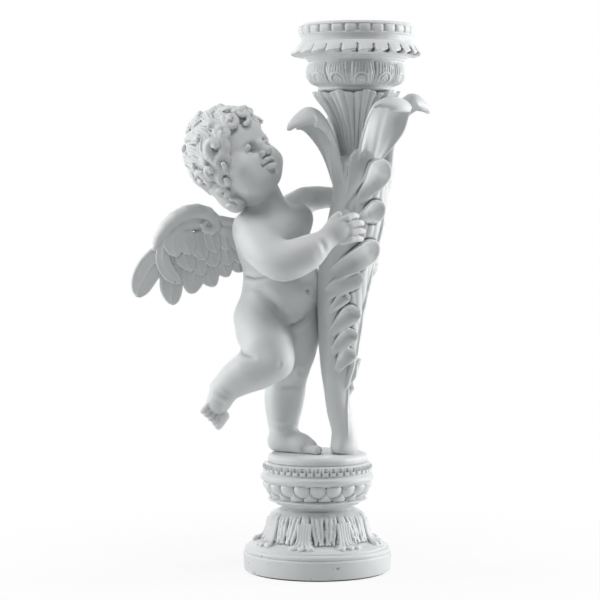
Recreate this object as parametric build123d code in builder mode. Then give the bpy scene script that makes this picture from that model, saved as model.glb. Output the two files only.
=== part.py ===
from build123d import *
import math
import os

# Resin angel candlestick: a cherub steadies a leafy horn on a turned pedestal, and the horn
# carries a cup for a pillar candle. Every casting is its own solid, glued over steel pins.
# Threaded rods draw the pedestal and the cup together. Millimetres, +Z up, the origin on the
# floor under the middle of the plinth, the front towards -Y.

# ---- fits
glue_gap = 0.3  # glue line between two castings
hole_clearance = 0.08  # radial, between a pin or a rod and its hole
pan_clearance = 0.5  # radial, between the drip pan and its recess

# ---- pedestal
felt_thickness = 1.5
felt_inset = 4.0  # from the plinth's edge to the felt's
plinth_radius = 68.0
drum_height = 15.5
plinth_wall = 9.0
bell_height = 40.5  # from the drum's top to the neck
bell_radius = 49.0  # at the foot of the bell
neck_radius = 31.0
leaf_count = 8
leaf_width = 22.0
leaf_reach = 58.0  # radius of the rolled leaf tips
leaf_thickness = 4.0
first_leaf = -105.0  # azimuth of a leaf, degrees from +X
bowl_height = 43.0
bowl_lip_radius = 52.0
slab_radius = 46.0
slab_height = 8.0
spigot_radius = 14.0
spigot_depth = 14.0
tie_rod_diameter = 8.0
nut_flats = 13.0
nut_height = 6.5
washer_radius = 8.5
washer_thickness = 1.6
pin_diameter = 5.0
small_pin_diameter = 3.0

# ---- horn
horn_height = 262.0  # from the slab to the flat that the collar stands on
horn_y = -6.0
horn_foot_radius = 12.0
grip_height = 205.5  # of the right hand above the slab
far_grip_height = 228.0  # of the left hand above the slab

# ---- cup
cup_x = 35.0
collar_height = 68.0
collar_foot_radius = 13.0
collar_radius = 37.0
curl_count = 4
curl_reach = 61.0  # radius of the curled leaves' tips from the cup's axis
curl_height = 54.0  # from the horn's flat to the top of a curled leaf
first_curl = -165.0  # azimuth, degrees from +X
cup_foot_radius = 33.0
cup_bowl_height = 27.5
cup_bowl_radius = 44.0
crown_height = 34.0
crown_radius = 50.0
crown_flange_radius = 58.5
crown_floor = 12.0  # resin under the candle recess
candle_recess_radius = 42.5
pan_wall = 0.8
pan_drop = 2.0  # from the crown's rim down to the pan's edge

# ---- cherub
body_turn = 50.0  # degrees that the cherub faces from the front towards +X
hair_radius = 45.0
hair_back = 4.0  # from the skull's middle to the middle of the curls
face_radius = 38.0
face_forward = 10.0
face_drop = 4.0
wing_thickness = 7.0
finger_radius = 3.2
finger_length = 17.0
palm_thickness = 7.0

# ---- levels and directions that follow
drum_top = felt_thickness + drum_height
neck_level = drum_top + bell_height
bowl_top = neck_level + bowl_height
slab_top = bowl_top + slab_height
horn_top = slab_top + horn_height
collar_top = horn_top + collar_height
cup_joint = collar_top + cup_bowl_height
crown_top = cup_joint + crown_height
recess_floor = cup_joint + crown_floor
turn = math.radians(body_turn)
forward = Vector(math.sin(turn), -math.cos(turn), 0)
leftward = Vector(math.cos(turn), math.sin(turn), 0)
tie_rod_radius = tie_rod_diameter / 2
rod_hole_radius = tie_rod_radius + hole_clearance

os.makedirs("parts", exist_ok=True)


# ---- shared shapes
def above_slab(x, y, z):
    """A point given by its height above the slab."""
    return Vector(x, y, slab_top + z)


def limb(rings, grow=0.0):
    """A smooth solid through (centre, half width, half depth), each ring square to the limb."""
    with BuildPart() as body:
        for i, (centre, half_width, half_depth) in enumerate(rings):
            along = rings[min(i + 1, len(rings) - 1)][0] - rings[max(i - 1, 0)][0]
            side = Vector(0, 0, 1).cross(along)
            if side.length < 0.35 * along.length:
                side = leftward - along * (leftward.dot(along) / along.dot(along))
            with BuildSketch(Plane(origin=centre, x_dir=side, z_dir=along)):
                Ellipse(half_width + grow, half_depth + grow)
        loft()
    return body.part


def upright(rings, grow=0.0):
    """A smooth solid through level rings of (centre, half across the body, half depth)."""
    with BuildPart() as body:
        for centre, half_across, half_depth in rings:
            with BuildSketch(Plane(origin=centre, x_dir=leftward, z_dir=(0, 0, 1))):
                Ellipse(half_across + grow, half_depth + grow)
        loft()
    return body.part


def ball(centre, radius):
    """A sphere."""
    with BuildPart() as body:
        with Locations(centre):
            Sphere(radius)
    return body.part


def rod(start, end, radius):
    """A straight round bar."""
    with BuildPart() as body:
        with BuildSketch(Plane(origin=start, z_dir=end - start)):
            Circle(radius)
        extrude(amount=(end - start).length)
    return body.part


def pin_hole(ends, radius):
    """The hole for a pin, half a millimetre longer than the pin at each end."""
    start, end = ends
    over = (end - start).normalized() * 0.5
    return rod(start - over, end + over, radius + hole_clearance)


def turned(points, x=0.0, y=0.0):
    """A solid turned about a vertical axis, from (radius, level) points of its outline."""
    with BuildPart() as body:
        with BuildSketch(Plane.XZ):
            with BuildLine():
                Polyline(*points, close=True)
            make_face()
        revolve(axis=Axis.Z)
    return body.part.moved(Location((x, y, 0)))


def nut(level, x=0.0, y=0.0, grow=0.0, bore=True):
    """A hexagon nut that stands on a level."""
    with BuildPart() as body:
        with BuildSketch(Plane.XY.offset(level - grow)):
            with Locations((x, y)):
                RegularPolygon(nut_flats / 2 + grow, 6, major_radius=False)
                if bore:
                    Circle(rod_hole_radius, mode=Mode.SUBTRACT)
        extrude(amount=nut_height + 2 * grow)
    return body.part


def washer(level, x=0.0, y=0.0):
    """A flat washer that lies on a level."""
    with BuildPart() as body:
        with BuildSketch(Plane.XY.offset(level)):
            with Locations((x, y)):
                Circle(washer_radius)
                Circle(rod_hole_radius, mode=Mode.SUBTRACT)
        extrude(amount=washer_thickness)
    return body.part


def save(shape, node):
    """Writes one finished piece as parts/NODE.step."""
    shape.label = node
    export_step(shape, f"parts/{node}.step")


# ---- the horn's bulk, which the hands and the body are fitted to
horn_shape = [
    # share of the horn's height, x of its middle, radius
    (0.0, 24.0, horn_foot_radius),
    (0.06, 24.5, horn_foot_radius),
    (0.155, 19.5, 11.0),
    (0.25, 17.5, 13.0),
    (0.33, 20.5, 17.5),
    (0.48, 23.5, 22.0),
    (0.62, 28.0, 24.5),
    (0.78, 36.0, 26.0),
    (0.9, 38.0, 25.5),
    (1.0, 37.0, 27.0),
]


def horn_at(height):
    """The x of the horn's middle and its radius at a height above the slab."""
    for (low, x0, r0), (high, x1, r1) in zip(horn_shape, horn_shape[1:]):
        if height <= high * horn_height:
            part = (height / horn_height - low) / (high - low)
            return x0 + (x1 - x0) * part, r0 + (r1 - r0) * part
    return horn_shape[-1][1:]


def horn_bulk(grow=0.0):
    """The horn without its holes."""
    with BuildPart() as body:
        for share, x, radius in horn_shape:
            with BuildSketch(Plane.XY.offset(slab_top + share * horn_height)):
                with Locations((x, horn_y)):
                    Circle(radius + grow)
        loft()
    return body.part


def on_horn(height, azimuth, clear):
    """A point outside the horn's skin, at an azimuth in degrees from +X."""
    x, radius = horn_at(height)
    angle = math.radians(azimuth)
    out = radius + clear
    return above_slab(x + out * math.cos(angle), horn_y + out * math.sin(angle), height)


# ---- the cherub's bulk
pelvis = above_slab(-39, 8, 124)
belly = above_slab(-33, 7, 152)
chest = above_slab(-42, 8, 197)
neck_root = above_slab(-45, 6, 232)
skull = above_slab(-78, -1, 271)
hip_right = above_slab(-45, 2, 131)
knee_right = above_slab(-37, -33, 88)
ankle_right = above_slab(-84, -26, 61)
hip_left = above_slab(-27, 12, 130)
ankle_left = above_slab(-31.5, 5.5, 22)
shoulder_right = above_slab(-60, -14, 202)
elbow_right = above_slab(-33, -45, 175)
shoulder_left = above_slab(-26, 28, 220)
wing_root_right = above_slab(-70, 12, 180)
palm_right = on_horn(grip_height, -114, palm_thickness / 2 + 1)
palm_left = on_horn(far_grip_height, 84, palm_thickness / 2 + 1)


def torso_bulk(grow=0.0):
    """Pelvis, belly, chest and shoulders."""
    return upright(
        [
            (pelvis + Vector(0, 0, -24), 25, 21),
            (pelvis + Vector(0, 0, -12), 32, 27),
            (pelvis, 36, 30),
            (belly, 35, 31),
            (chest + Vector(2, 0, -18), 32, 28),
            (chest, 33, 26),
            (chest + Vector(-1, 0, 17), 30, 22),
            (neck_root + Vector(0, 0, -8), 19, 16),
            (neck_root, 14, 13),
        ],
        grow,
    )


def head_bulk(grow=0.0):
    """The mass of curls, the face in front of it and the neck."""
    face = skull + forward * face_forward - Vector(0, 0, face_drop)
    with BuildPart() as body:
        add(ball(skull - forward * hair_back, hair_radius + grow))
        add(ball(face, face_radius + grow))
        add(
            limb(
                [
                    (neck_root + Vector(1, 1, -6), 13, 12),
                    (neck_root + Vector(-4, -1, 6), 14, 13),
                    (skull + Vector(8, 0, -16), 24, 24),
                ],
                grow,
            )
        )
    return body.part


def standing_leg_bulk(grow=0.0):
    """Left thigh, calf and foot, which ends flat on the slab."""
    with BuildPart() as body:
        add(
            limb(
                [
                    (hip_left, 19, 19),
                    (above_slab(-23, 13, 106), 24, 24),
                    (above_slab(-25.5, 11, 84), 20.5, 20.5),
                    (above_slab(-27.5, 9, 70), 17.5, 17.5),
                    (above_slab(-30, 8.5, 54), 17.8, 17.8),
                    (above_slab(-31, 7.5, 38), 16, 16),
                    (ankle_left, 12.5, 12.5),
                    (ankle_left + Vector(-2, 1, -14), 10.5, 12),
                ],
                grow,
            )
        )
        add(
            limb(
                [
                    (above_slab(-44, 9, 8), 6.5, 8),
                    (above_slab(-35, 8, 10), 10.5, 12),
                    (above_slab(-20, 0.5, 9), 11, 11),
                    (above_slab(-9, -5, 6), 11, 8),
                    (above_slab(0, -9, 3), 9, 6),
                ],
                grow,
            )
        )
        with BuildSketch(Plane.XY.offset(slab_top)):
            Rectangle(4 * slab_radius, 4 * slab_radius)
        extrude(amount=-4 * slab_radius, mode=Mode.SUBTRACT)
    return body.part


def raised_leg_bulk(grow=0.0):
    """Right thigh lifted forward, the calf folded back and the hanging foot."""
    with BuildPart() as body:
        add(
            limb(
                [
                    (hip_right, 19, 19),
                    (above_slab(-46, -13, 113), 24.5, 24),
                    (above_slab(-41, -26, 98), 22, 22),
                    (knee_right, 17, 17),
                ],
                grow,
            )
        )
        add(ball(knee_right, 17.5 + grow))
        add(
            limb(
                [
                    (above_slab(-38, -34, 86), 16, 16),
                    (above_slab(-58, -32, 78), 18, 18),
                    (above_slab(-73, -29, 69), 15.5, 15.5),
                    (ankle_right, 11.5, 12),
                    (ankle_right + Vector(-8, 3, -3), 10, 10),
                ],
                grow,
            )
        )
        add(ball(ankle_right + Vector(-9, 3, 3), 10.5 + grow))
        add(
            limb(
                [
                    (ankle_right + Vector(-7, 3, 4), 11, 10),
                    (ankle_right + Vector(-11, -1, -10), 12.5, 9),
                    (ankle_right + Vector(-14, -5, -21), 12.5, 6.5),
                    (ankle_right + Vector(-16, -8, -27), 10, 4.5),
                ],
                grow,
            )
        )
    return body.part


def right_arm_bulk(grow=0.0):
    """Right arm, bent, with the palm laid on the horn's near side."""
    wrist = palm_right + Vector(-12, -2, -5)
    with BuildPart() as body:
        add(ball(shoulder_right, 17 + grow))
        add(
            limb(
                [
                    (shoulder_right, 16.5, 16.5),
                    (above_slab(-50, -32, 188), 16, 16),
                    (elbow_right, 15.5, 16),
                    (above_slab(-13, -46, 184), 15.5, 16.5),
                    (wrist, 11, 10.5),
                    (palm_right, palm_thickness / 2 + 2, 13),
                ],
                grow,
            )
        )
        for i in range(4):
            level = grip_height - 8 + 6.6 * i
            knuckle = on_horn(level, -112, finger_radius + glue_gap)
            middle = on_horn(level + 2, -112 + finger_length * 1.1, finger_radius + glue_gap)
            tip = on_horn(level + 3, -112 + finger_length * 2, finger_radius + glue_gap)
            add(rod(knuckle, middle, finger_radius + grow))
            add(ball(middle, finger_radius + grow))
            add(rod(middle, tip, finger_radius + grow))
            add(ball(tip, finger_radius + grow))
    return body.part


def left_arm_bulk(grow=0.0):
    """Left arm, reaching behind the horn with the palm on its far side."""
    return limb(
        [
            (shoulder_left, 14.5, 14.5),
            (above_slab(-16, 37, 229), 12.8, 12.8),
            (above_slab(-2, 40, 232.5), 11, 11),
            (above_slab(14, 37, 233), 10.5, 10.5),
            (palm_left + Vector(-15, 7, 3), 9, 9),
            (palm_left, palm_thickness / 2 + 1, 11),
            (palm_left + Vector(12, -4, -1), palm_thickness / 2, 8),
        ],
        grow,
    )


wing_out_right = Vector(-0.976, -0.217, 0)
wing_out_left = wing_out_right - leftward * (2 * wing_out_right.dot(leftward))
to_root = wing_root_right - chest
wing_root_left = chest + to_root - leftward * (2 * to_root.dot(leftward))


def wing(root, out):
    """A half-spread wing, a plate whose lower edge falls in three groups of feathers."""
    with BuildPart() as body:
        with BuildSketch(Plane(origin=root, x_dir=out, z_dir=out.cross(Vector(0, 0, 1)))):
            with BuildLine():
                Spline((-8, 32), (14, 34), (42, 47), (72, 18), (84, -6), (94, -24), (96, -34))
                ThreePointArc((96, -34), (88, -41), (74, -36))
                ThreePointArc((74, -36), (62, -47), (50, -30))
                ThreePointArc((50, -30), (38, -22), (30, -26))
                ThreePointArc((30, -26), (14, -24), (-8, -16))
                Line((-8, -16), (-8, 32))
            make_face()
        extrude(amount=wing_thickness / 2, both=True)
    return body.part


# ---- pins, as pairs of end points
neck_pin_ends = (neck_root + Vector(2, 1, -22), neck_root + Vector(-12, -3, 22))
hip_pin_ends = [
    (hip_right + Vector(0, 2, 4), hip_right + Vector(0, -26, -30)),
    (hip_left + Vector(-1, 0, 6), hip_left + Vector(2, 1, -33)),
]
shoulder_pin_ends = [
    (chest + Vector(-4, 2, 4), shoulder_right + Vector(3, -8, -5)),
    (chest + Vector(4, 6, 12), shoulder_left + Vector(10, 10, 6)),
]
wing_pin_ends = [
    (wing_root_right - wing_out_right * 16, wing_root_right + wing_out_right * 20),
    (wing_root_left - wing_out_left * 16, wing_root_left + wing_out_left * 20),
]
ankle_rod_ends = (above_slab(-31, 5.5, -slab_height + 2), above_slab(-29, 8, 52))
horn_pin_ends = (
    above_slab(horn_shape[0][1], horn_y, -slab_height + 2),
    above_slab(horn_shape[0][1], horn_y, 16),
)
pin_radius = pin_diameter / 2
small_pin_radius = small_pin_diameter / 2

# ---- pedestal
with BuildPart() as felt_pad:
    with BuildSketch():
        Circle(plinth_radius - felt_inset)
    extrude(amount=felt_thickness)
save(felt_pad.part, "felt_pad")

cavity_ceiling = neck_level - 16
cavity_radius = plinth_radius - plinth_wall
with BuildPart() as hanging_leaf:
    with BuildSketch(Plane.XZ):
        with BuildLine():
            Spline(
                (leaf_reach, drum_top + 6.5),
                (bell_radius + 1, drum_top + 17),
                (neck_radius + 12, drum_top + 29),
                (neck_radius + 1, neck_level),
            )
            Line((neck_radius + 1, neck_level), (neck_radius - leaf_thickness, neck_level))
            Line((neck_radius - leaf_thickness, neck_level), (bell_radius - 12, drum_top + 9))
            Line((bell_radius - 12, drum_top + 9), (leaf_reach, drum_top + 6.5))
        make_face()
    extrude(amount=leaf_width / 2, both=True)

with BuildPart() as plinth:
    with BuildSketch(Plane.XZ):
        with BuildLine():
            Polyline(
                (0, felt_thickness),
                (plinth_radius - 1, felt_thickness),
                (plinth_radius, felt_thickness + 1),
                (plinth_radius, drum_top - 5),
                (plinth_radius - 1.5, drum_top - 4),
            )
            ThreePointArc(
                (plinth_radius - 1.5, drum_top - 4),
                (plinth_radius - 0.6, drum_top - 1),
                (plinth_radius - 3, drum_top + 2),
            )
            Polyline((plinth_radius - 3, drum_top + 2), (plinth_radius - 5, drum_top + 5))
            Line((plinth_radius - 5, drum_top + 5), (bell_radius, drum_top + 10))
            Spline(
                (bell_radius, drum_top + 10),
                (bell_radius - 6, drum_top + 21),
                (neck_radius + 8, drum_top + 32),
                (neck_radius, neck_level),
            )
            Polyline((neck_radius, neck_level), (0, neck_level), (0, felt_thickness))
        make_face()
    revolve(axis=Axis.Z)
    with PolarLocations(0, leaf_count, start_angle=first_leaf):
        add(hanging_leaf.part)
    add(
        turned(
            [
                (0, felt_thickness),
                (cavity_radius, felt_thickness),
                (cavity_radius, drum_top - 4),
                (neck_radius - plinth_wall, cavity_ceiling),
                (0, cavity_ceiling),
            ]
        ),
        mode=Mode.SUBTRACT,
    )
    with Locations((0, 0, neck_level)):
        Cylinder(
            rod_hole_radius,
            2 * (neck_level - cavity_ceiling) + 2,
            mode=Mode.SUBTRACT,
        )
save(plinth.part, "plinth")

with BuildPart() as pedestal_bowl:
    with BuildSketch(Plane.XZ):
        with BuildLine():
            Line((rod_hole_radius, neck_level), (neck_radius, neck_level))
            Spline(
                (neck_radius, neck_level),
                (neck_radius + 9, neck_level + 5),
                (bowl_lip_radius - 6, neck_level + 9),
            )
            Line(
                (bowl_lip_radius - 6, neck_level + 9),
                (bowl_lip_radius - 10, neck_level + 12),
            )
            Spline(
                (bowl_lip_radius - 10, neck_level + 12),
                (bowl_lip_radius - 5, neck_level + 18),
                (bowl_lip_radius - 2, neck_level + 26),
            )
            ThreePointArc(
                (bowl_lip_radius - 2, neck_level + 26),
                (bowl_lip_radius, neck_level + 29.5),
                (bowl_lip_radius - 2, neck_level + 33),
            )
            Polyline(
                (bowl_lip_radius - 2, neck_level + 33),
                (bowl_lip_radius - 4, neck_level + 34),
                (bowl_lip_radius - 2, neck_level + 40),
                (bowl_lip_radius - 4, bowl_top),
                (rod_hole_radius, bowl_top),
                (rod_hole_radius, neck_level),
            )
        make_face()
    revolve(axis=Axis.Z)
    with Locations((0, 0, bowl_top)):
        Cylinder(spigot_radius + glue_gap, 2 * (spigot_depth + glue_gap), mode=Mode.SUBTRACT)
save(pedestal_bowl.part, "pedestal_bowl")

# The anchor nut is cast into the spigot, with the rod's end in it.
anchor_level = bowl_top - 9
rod_end = anchor_level + nut_height + 1
with BuildPart() as figure_slab:
    with BuildSketch(Plane.XY.offset(bowl_top)):
        Circle(slab_radius)
    extrude(amount=slab_height)
    with BuildSketch(Plane.XY.offset(bowl_top - spigot_depth)):
        Circle(spigot_radius)
    extrude(amount=spigot_depth)
    add(nut(anchor_level, grow=hole_clearance, bore=False), mode=Mode.SUBTRACT)
    add(
        rod(
            Vector(0, 0, bowl_top - spigot_depth - 1),
            Vector(0, 0, rod_end + 0.5),
            rod_hole_radius,
        ),
        mode=Mode.SUBTRACT,
    )
    add(pin_hole(ankle_rod_ends, pin_radius), mode=Mode.SUBTRACT)
    add(pin_hole(horn_pin_ends, pin_radius), mode=Mode.SUBTRACT)
save(figure_slab.part, "figure_slab")

washer_level = cavity_ceiling - washer_thickness
nut_level = washer_level - nut_height
save(rod(Vector(0, 0, nut_level - 3), Vector(0, 0, rod_end), tie_rod_radius), "tie_rod")
save(nut(nut_level), "tie_nut")
save(washer(washer_level), "tie_washer")
save(nut(anchor_level), "anchor_nut")

# ---- horn, collar and curled leaves
stud_foot = horn_top - 45
pocket_floor = recess_floor - washer_thickness - nut_height - 1
stud_end = recess_floor - 0.5
with BuildPart() as horn_stem:
    add(horn_bulk())
    add(pin_hole(horn_pin_ends, pin_radius), mode=Mode.SUBTRACT)
    add(
        rod(
            Vector(cup_x, horn_y, stud_foot - 0.5),
            Vector(cup_x, horn_y, horn_top + 1),
            rod_hole_radius,
        ),
        mode=Mode.SUBTRACT,
    )
save(horn_stem.part, "horn_stem")
save(rod(*horn_pin_ends, pin_radius), "horn_foot_pin")

with BuildPart() as shell_collar:
    with BuildSketch(Plane.XZ):
        with BuildLine():
            Line((rod_hole_radius, horn_top), (collar_foot_radius, horn_top))
            Spline(
                (collar_foot_radius, horn_top),
                (collar_foot_radius + 2, horn_top + 0.25 * collar_height),
                (collar_foot_radius + 10, horn_top + 0.6 * collar_height),
                (collar_radius, collar_top - 2),
            )
            Polyline(
                (collar_radius, collar_top - 2),
                (collar_radius - 2, collar_top),
                (rod_hole_radius, collar_top),
                (rod_hole_radius, horn_top),
            )
        make_face()
    revolve(axis=Axis.Z)
save(shell_collar.part.moved(Location((cup_x, horn_y, 0))), "shell_collar")


def curled_leaf(azimuth):
    """A leaf that stands on the horn's flat, leans out and rolls over at its tip."""
    angle = math.radians(azimuth)
    out = Vector(math.cos(angle), math.sin(angle), 0)
    rings = [
        # distance from the cup's axis, height above the horn's flat, half width, half thickness
        (19, -10, 8, 4.5),
        (20, 2, 9, 4.5),
        (25, 0.38 * curl_height, 14, 4.5),
        (0.55 * curl_reach, 0.76 * curl_height, 18, 4),
        (0.77 * curl_reach, curl_height - 3, 17, 3.5),
        (0.93 * curl_reach, curl_height - 7, 12, 3),
        (curl_reach, curl_height - 19, 6, 2.5),
    ]
    side = out.cross(Vector(0, 0, 1))
    axis_foot = Vector(cup_x, horn_y, horn_top)
    centres = [axis_foot + out * reach + Vector(0, 0, rise) for reach, rise, _, _ in rings]
    with BuildPart() as body:
        for i, (_, _, half_width, half_thickness) in enumerate(rings):
            along = centres[min(i + 1, len(rings) - 1)] - centres[max(i - 1, 0)]
            with BuildSketch(Plane(origin=centres[i], x_dir=side, z_dir=along)):
                Ellipse(half_width, half_thickness)
        loft()
        with BuildSketch(Plane.XY.offset(horn_top)):
            with Locations((cup_x, horn_y)):
                Circle(2 * curl_reach)
        extrude(amount=-4 * curl_reach, mode=Mode.SUBTRACT)
    return body.part


curl_names = ["left", "front", "right", "back"]
for i, side_name in enumerate(curl_names):
    save(curled_leaf(first_curl + i * 360 / curl_count), f"curled_leaf_{side_name}")

# ---- cup
with BuildPart() as cup_bowl:
    with BuildSketch(Plane.XZ):
        with BuildLine():
            Polyline(
                (rod_hole_radius, collar_top),
                (cup_foot_radius, collar_top),
                (cup_foot_radius + 2, collar_top + 2.5),
                (cup_foot_radius, collar_top + 5),
                (cup_foot_radius + 1, collar_top + 7),
            )
            ThreePointArc(
                (cup_foot_radius + 1, collar_top + 7),
                (cup_bowl_radius - 0.6, collar_top + 15),
                (cup_bowl_radius - 2, collar_top + 22),
            )
            Polyline(
                (cup_bowl_radius - 2, collar_top + 22),
                (cup_bowl_radius - 1, cup_joint),
                (rod_hole_radius, cup_joint),
                (rod_hole_radius, collar_top),
            )
        make_face()
    revolve(axis=Axis.Z)
save(cup_bowl.part.moved(Location((cup_x, horn_y, 0))), "cup_bowl")

with BuildPart() as cup_crown:
    with BuildSketch(Plane.XZ):
        with BuildLine():
            Polyline(
                (rod_hole_radius, cup_joint),
                (cup_bowl_radius - 1, cup_joint),
                (cup_bowl_radius + 2, cup_joint + 4),
                (crown_flange_radius, cup_joint + 7),
                (crown_flange_radius, cup_joint + 9),
                (crown_radius + 3, cup_joint + 13),
            )
            ThreePointArc(
                (crown_radius + 3, cup_joint + 13),
                (crown_radius, cup_joint + 19),
                (crown_radius + 1, cup_joint + 25),
            )
            Polyline(
                (crown_radius + 1, cup_joint + 25),
                (crown_radius + 1, crown_top - 2),
                (crown_radius - 0.5, crown_top),
                (candle_recess_radius, crown_top),
                (candle_recess_radius, recess_floor),
                (washer_radius + 1, recess_floor),
                (washer_radius + 1, pocket_floor),
                (rod_hole_radius, pocket_floor),
                (rod_hole_radius, cup_joint),
            )
        make_face()
    revolve(axis=Axis.Z)
save(cup_crown.part.moved(Location((cup_x, horn_y, 0))), "cup_crown")

pan_radius = candle_recess_radius - pan_clearance
pan_edge = crown_top - pan_drop
candle_pan = turned(
    [
        (0, recess_floor),
        (pan_radius, recess_floor),
        (pan_radius, pan_edge),
        (pan_radius - pan_wall, pan_edge),
        (pan_radius - pan_wall, recess_floor + pan_wall),
        (0, recess_floor + pan_wall),
    ],
    cup_x,
    horn_y,
)
save(candle_pan, "candle_pan")

cup_stud = rod(Vector(cup_x, horn_y, stud_foot), Vector(cup_x, horn_y, stud_end), tie_rod_radius)
save(cup_stud, "cup_stud")
save(washer(pocket_floor, cup_x, horn_y), "cup_washer")
save(nut(pocket_floor + washer_thickness, cup_x, horn_y), "cup_nut")

# ---- cherub
with BuildPart() as torso:
    add(torso_bulk())
    add(horn_bulk(glue_gap), mode=Mode.SUBTRACT)
    add(pin_hole(neck_pin_ends, pin_radius), mode=Mode.SUBTRACT)
    for ends in hip_pin_ends + shoulder_pin_ends:
        add(pin_hole(ends, pin_radius), mode=Mode.SUBTRACT)
    for ends in wing_pin_ends:
        add(pin_hole(ends, small_pin_radius), mode=Mode.SUBTRACT)
save(torso.part, "torso")

with BuildPart() as head:
    add(head_bulk())
    add(torso_bulk(glue_gap), mode=Mode.SUBTRACT)
    add(pin_hole(neck_pin_ends, pin_radius), mode=Mode.SUBTRACT)
save(head.part, "head")
save(rod(*neck_pin_ends, pin_radius), "neck_pin")

with BuildPart() as standing_leg:
    add(standing_leg_bulk())
    add(torso_bulk(glue_gap), mode=Mode.SUBTRACT)
    add(horn_bulk(glue_gap), mode=Mode.SUBTRACT)
    add(pin_hole(hip_pin_ends[1], pin_radius), mode=Mode.SUBTRACT)
    add(pin_hole(ankle_rod_ends, pin_radius), mode=Mode.SUBTRACT)
save(standing_leg.part, "standing_leg")
save(rod(*ankle_rod_ends, pin_radius), "ankle_rod")

with BuildPart() as raised_leg:
    add(raised_leg_bulk())
    add(torso_bulk(glue_gap), mode=Mode.SUBTRACT)
    add(standing_leg_bulk(glue_gap), mode=Mode.SUBTRACT)
    add(pin_hole(hip_pin_ends[0], pin_radius), mode=Mode.SUBTRACT)
save(raised_leg.part, "raised_leg")

with BuildPart() as right_arm:
    add(right_arm_bulk())
    add(torso_bulk(glue_gap), mode=Mode.SUBTRACT)
    add(horn_bulk(glue_gap), mode=Mode.SUBTRACT)
    add(pin_hole(shoulder_pin_ends[0], pin_radius), mode=Mode.SUBTRACT)
save(right_arm.part, "right_arm")

with BuildPart() as left_arm:
    add(left_arm_bulk())
    add(torso_bulk(glue_gap), mode=Mode.SUBTRACT)
    add(horn_bulk(glue_gap), mode=Mode.SUBTRACT)
    add(pin_hole(shoulder_pin_ends[1], pin_radius), mode=Mode.SUBTRACT)
save(left_arm.part, "left_arm")

for side_name, root, out, ends in [
    ("right", wing_root_right, wing_out_right, wing_pin_ends[0]),
    ("left", wing_root_left, wing_out_left, wing_pin_ends[1]),
]:
    with BuildPart() as one_wing:
        add(wing(root, out))
        add(torso_bulk(glue_gap), mode=Mode.SUBTRACT)
        add(head_bulk(glue_gap), mode=Mode.SUBTRACT)
        add(right_arm_bulk(glue_gap), mode=Mode.SUBTRACT)
        add(pin_hole(ends, small_pin_radius), mode=Mode.SUBTRACT)
    save(one_wing.part, f"{side_name}_wing")

for node, pairs, radius in [
    ("hip_pins", hip_pin_ends, pin_radius),
    ("shoulder_pins", shoulder_pin_ends, pin_radius),
    ("wing_pins", wing_pin_ends, small_pin_radius),
]:
    save(Compound(children=[rod(*ends, radius) for ends in pairs]), node)
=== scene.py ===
import math
import random

import bpy
import numpy as np
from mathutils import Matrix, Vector


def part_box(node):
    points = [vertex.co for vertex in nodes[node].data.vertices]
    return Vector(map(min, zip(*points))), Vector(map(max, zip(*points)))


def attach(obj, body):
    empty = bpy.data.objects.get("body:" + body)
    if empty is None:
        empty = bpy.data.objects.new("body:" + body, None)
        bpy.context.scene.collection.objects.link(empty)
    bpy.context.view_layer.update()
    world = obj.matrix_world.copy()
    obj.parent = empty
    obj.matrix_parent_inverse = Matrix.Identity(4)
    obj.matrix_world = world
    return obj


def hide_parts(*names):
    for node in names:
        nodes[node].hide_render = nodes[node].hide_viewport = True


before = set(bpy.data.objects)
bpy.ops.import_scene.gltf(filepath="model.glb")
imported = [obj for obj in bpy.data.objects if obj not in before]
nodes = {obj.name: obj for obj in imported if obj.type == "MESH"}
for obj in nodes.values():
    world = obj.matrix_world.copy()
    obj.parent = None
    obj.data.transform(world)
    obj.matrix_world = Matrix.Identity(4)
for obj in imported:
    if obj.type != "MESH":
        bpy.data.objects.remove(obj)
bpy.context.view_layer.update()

mm = 0.001


def boxOf(node):
    # lowest and highest corner of a CAD node, in millimetres
    return [np.round(np.array(corner) / mm, 1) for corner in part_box(node)]


def axisOf(node):
    # where the upright axis of a round CAD node stands
    low, high = boxOf(node)
    return np.array([(low[0] + high[0]) / 2, (low[1] + high[1]) / 2, 0])


# sizes are in millimetres until they go into a mesh
def deselectAll():
    bpy.ops.object.select_all(action="DESELECT")


def pickOnly(piece):
    deselectAll()
    piece.select_set(True)
    bpy.context.view_layer.objects.active = piece


def startEditing(piece):
    pickOnly(piece)
    bpy.ops.object.mode_set(mode="EDIT")
    bpy.ops.mesh.select_all(action="SELECT")


def stopEditing():
    bpy.ops.object.mode_set(mode="OBJECT")


def closeShell():
    # merges the seam and the poles, and turns the faces outwards
    bpy.ops.mesh.select_all(action="SELECT")
    bpy.ops.mesh.remove_doubles(threshold=2e-5)
    bpy.ops.mesh.select_all(action="SELECT")
    bpy.ops.mesh.normals_make_consistent(inside=False)
    stopEditing()


def pointsOf(piece):
    flat = np.empty(len(piece.data.vertices) * 3, np.float32)
    piece.data.vertices.foreach_get("co", flat)
    return flat.reshape(-1, 3).astype(float) / mm


def movePoints(piece, points):
    piece.data.vertices.foreach_set("co", (points * mm).astype(np.float32).ravel())
    piece.data.update()


def normalsOf(piece):
    flat = np.empty(len(piece.data.vertices) * 3, np.float32)
    piece.data.vertex_normals.foreach_get("vector", flat)
    return flat.reshape(-1, 3).astype(float)


def pieceFrom(name, points, faces):
    mesh = bpy.data.meshes.new(name)
    mesh.from_pydata((np.asarray(points, float) * mm).tolist(), [], np.asarray(faces).tolist())
    piece = bpy.data.objects.new(name, mesh)
    bpy.context.scene.collection.objects.link(piece)
    return piece


def applyModifier(piece, kind, **settings):
    pickOnly(piece)
    modifier = piece.modifiers.new(kind.lower(), kind)
    for key, value in settings.items():
        setattr(modifier, key, value)
    bpy.ops.object.modifier_apply(modifier=modifier.name)


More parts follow.
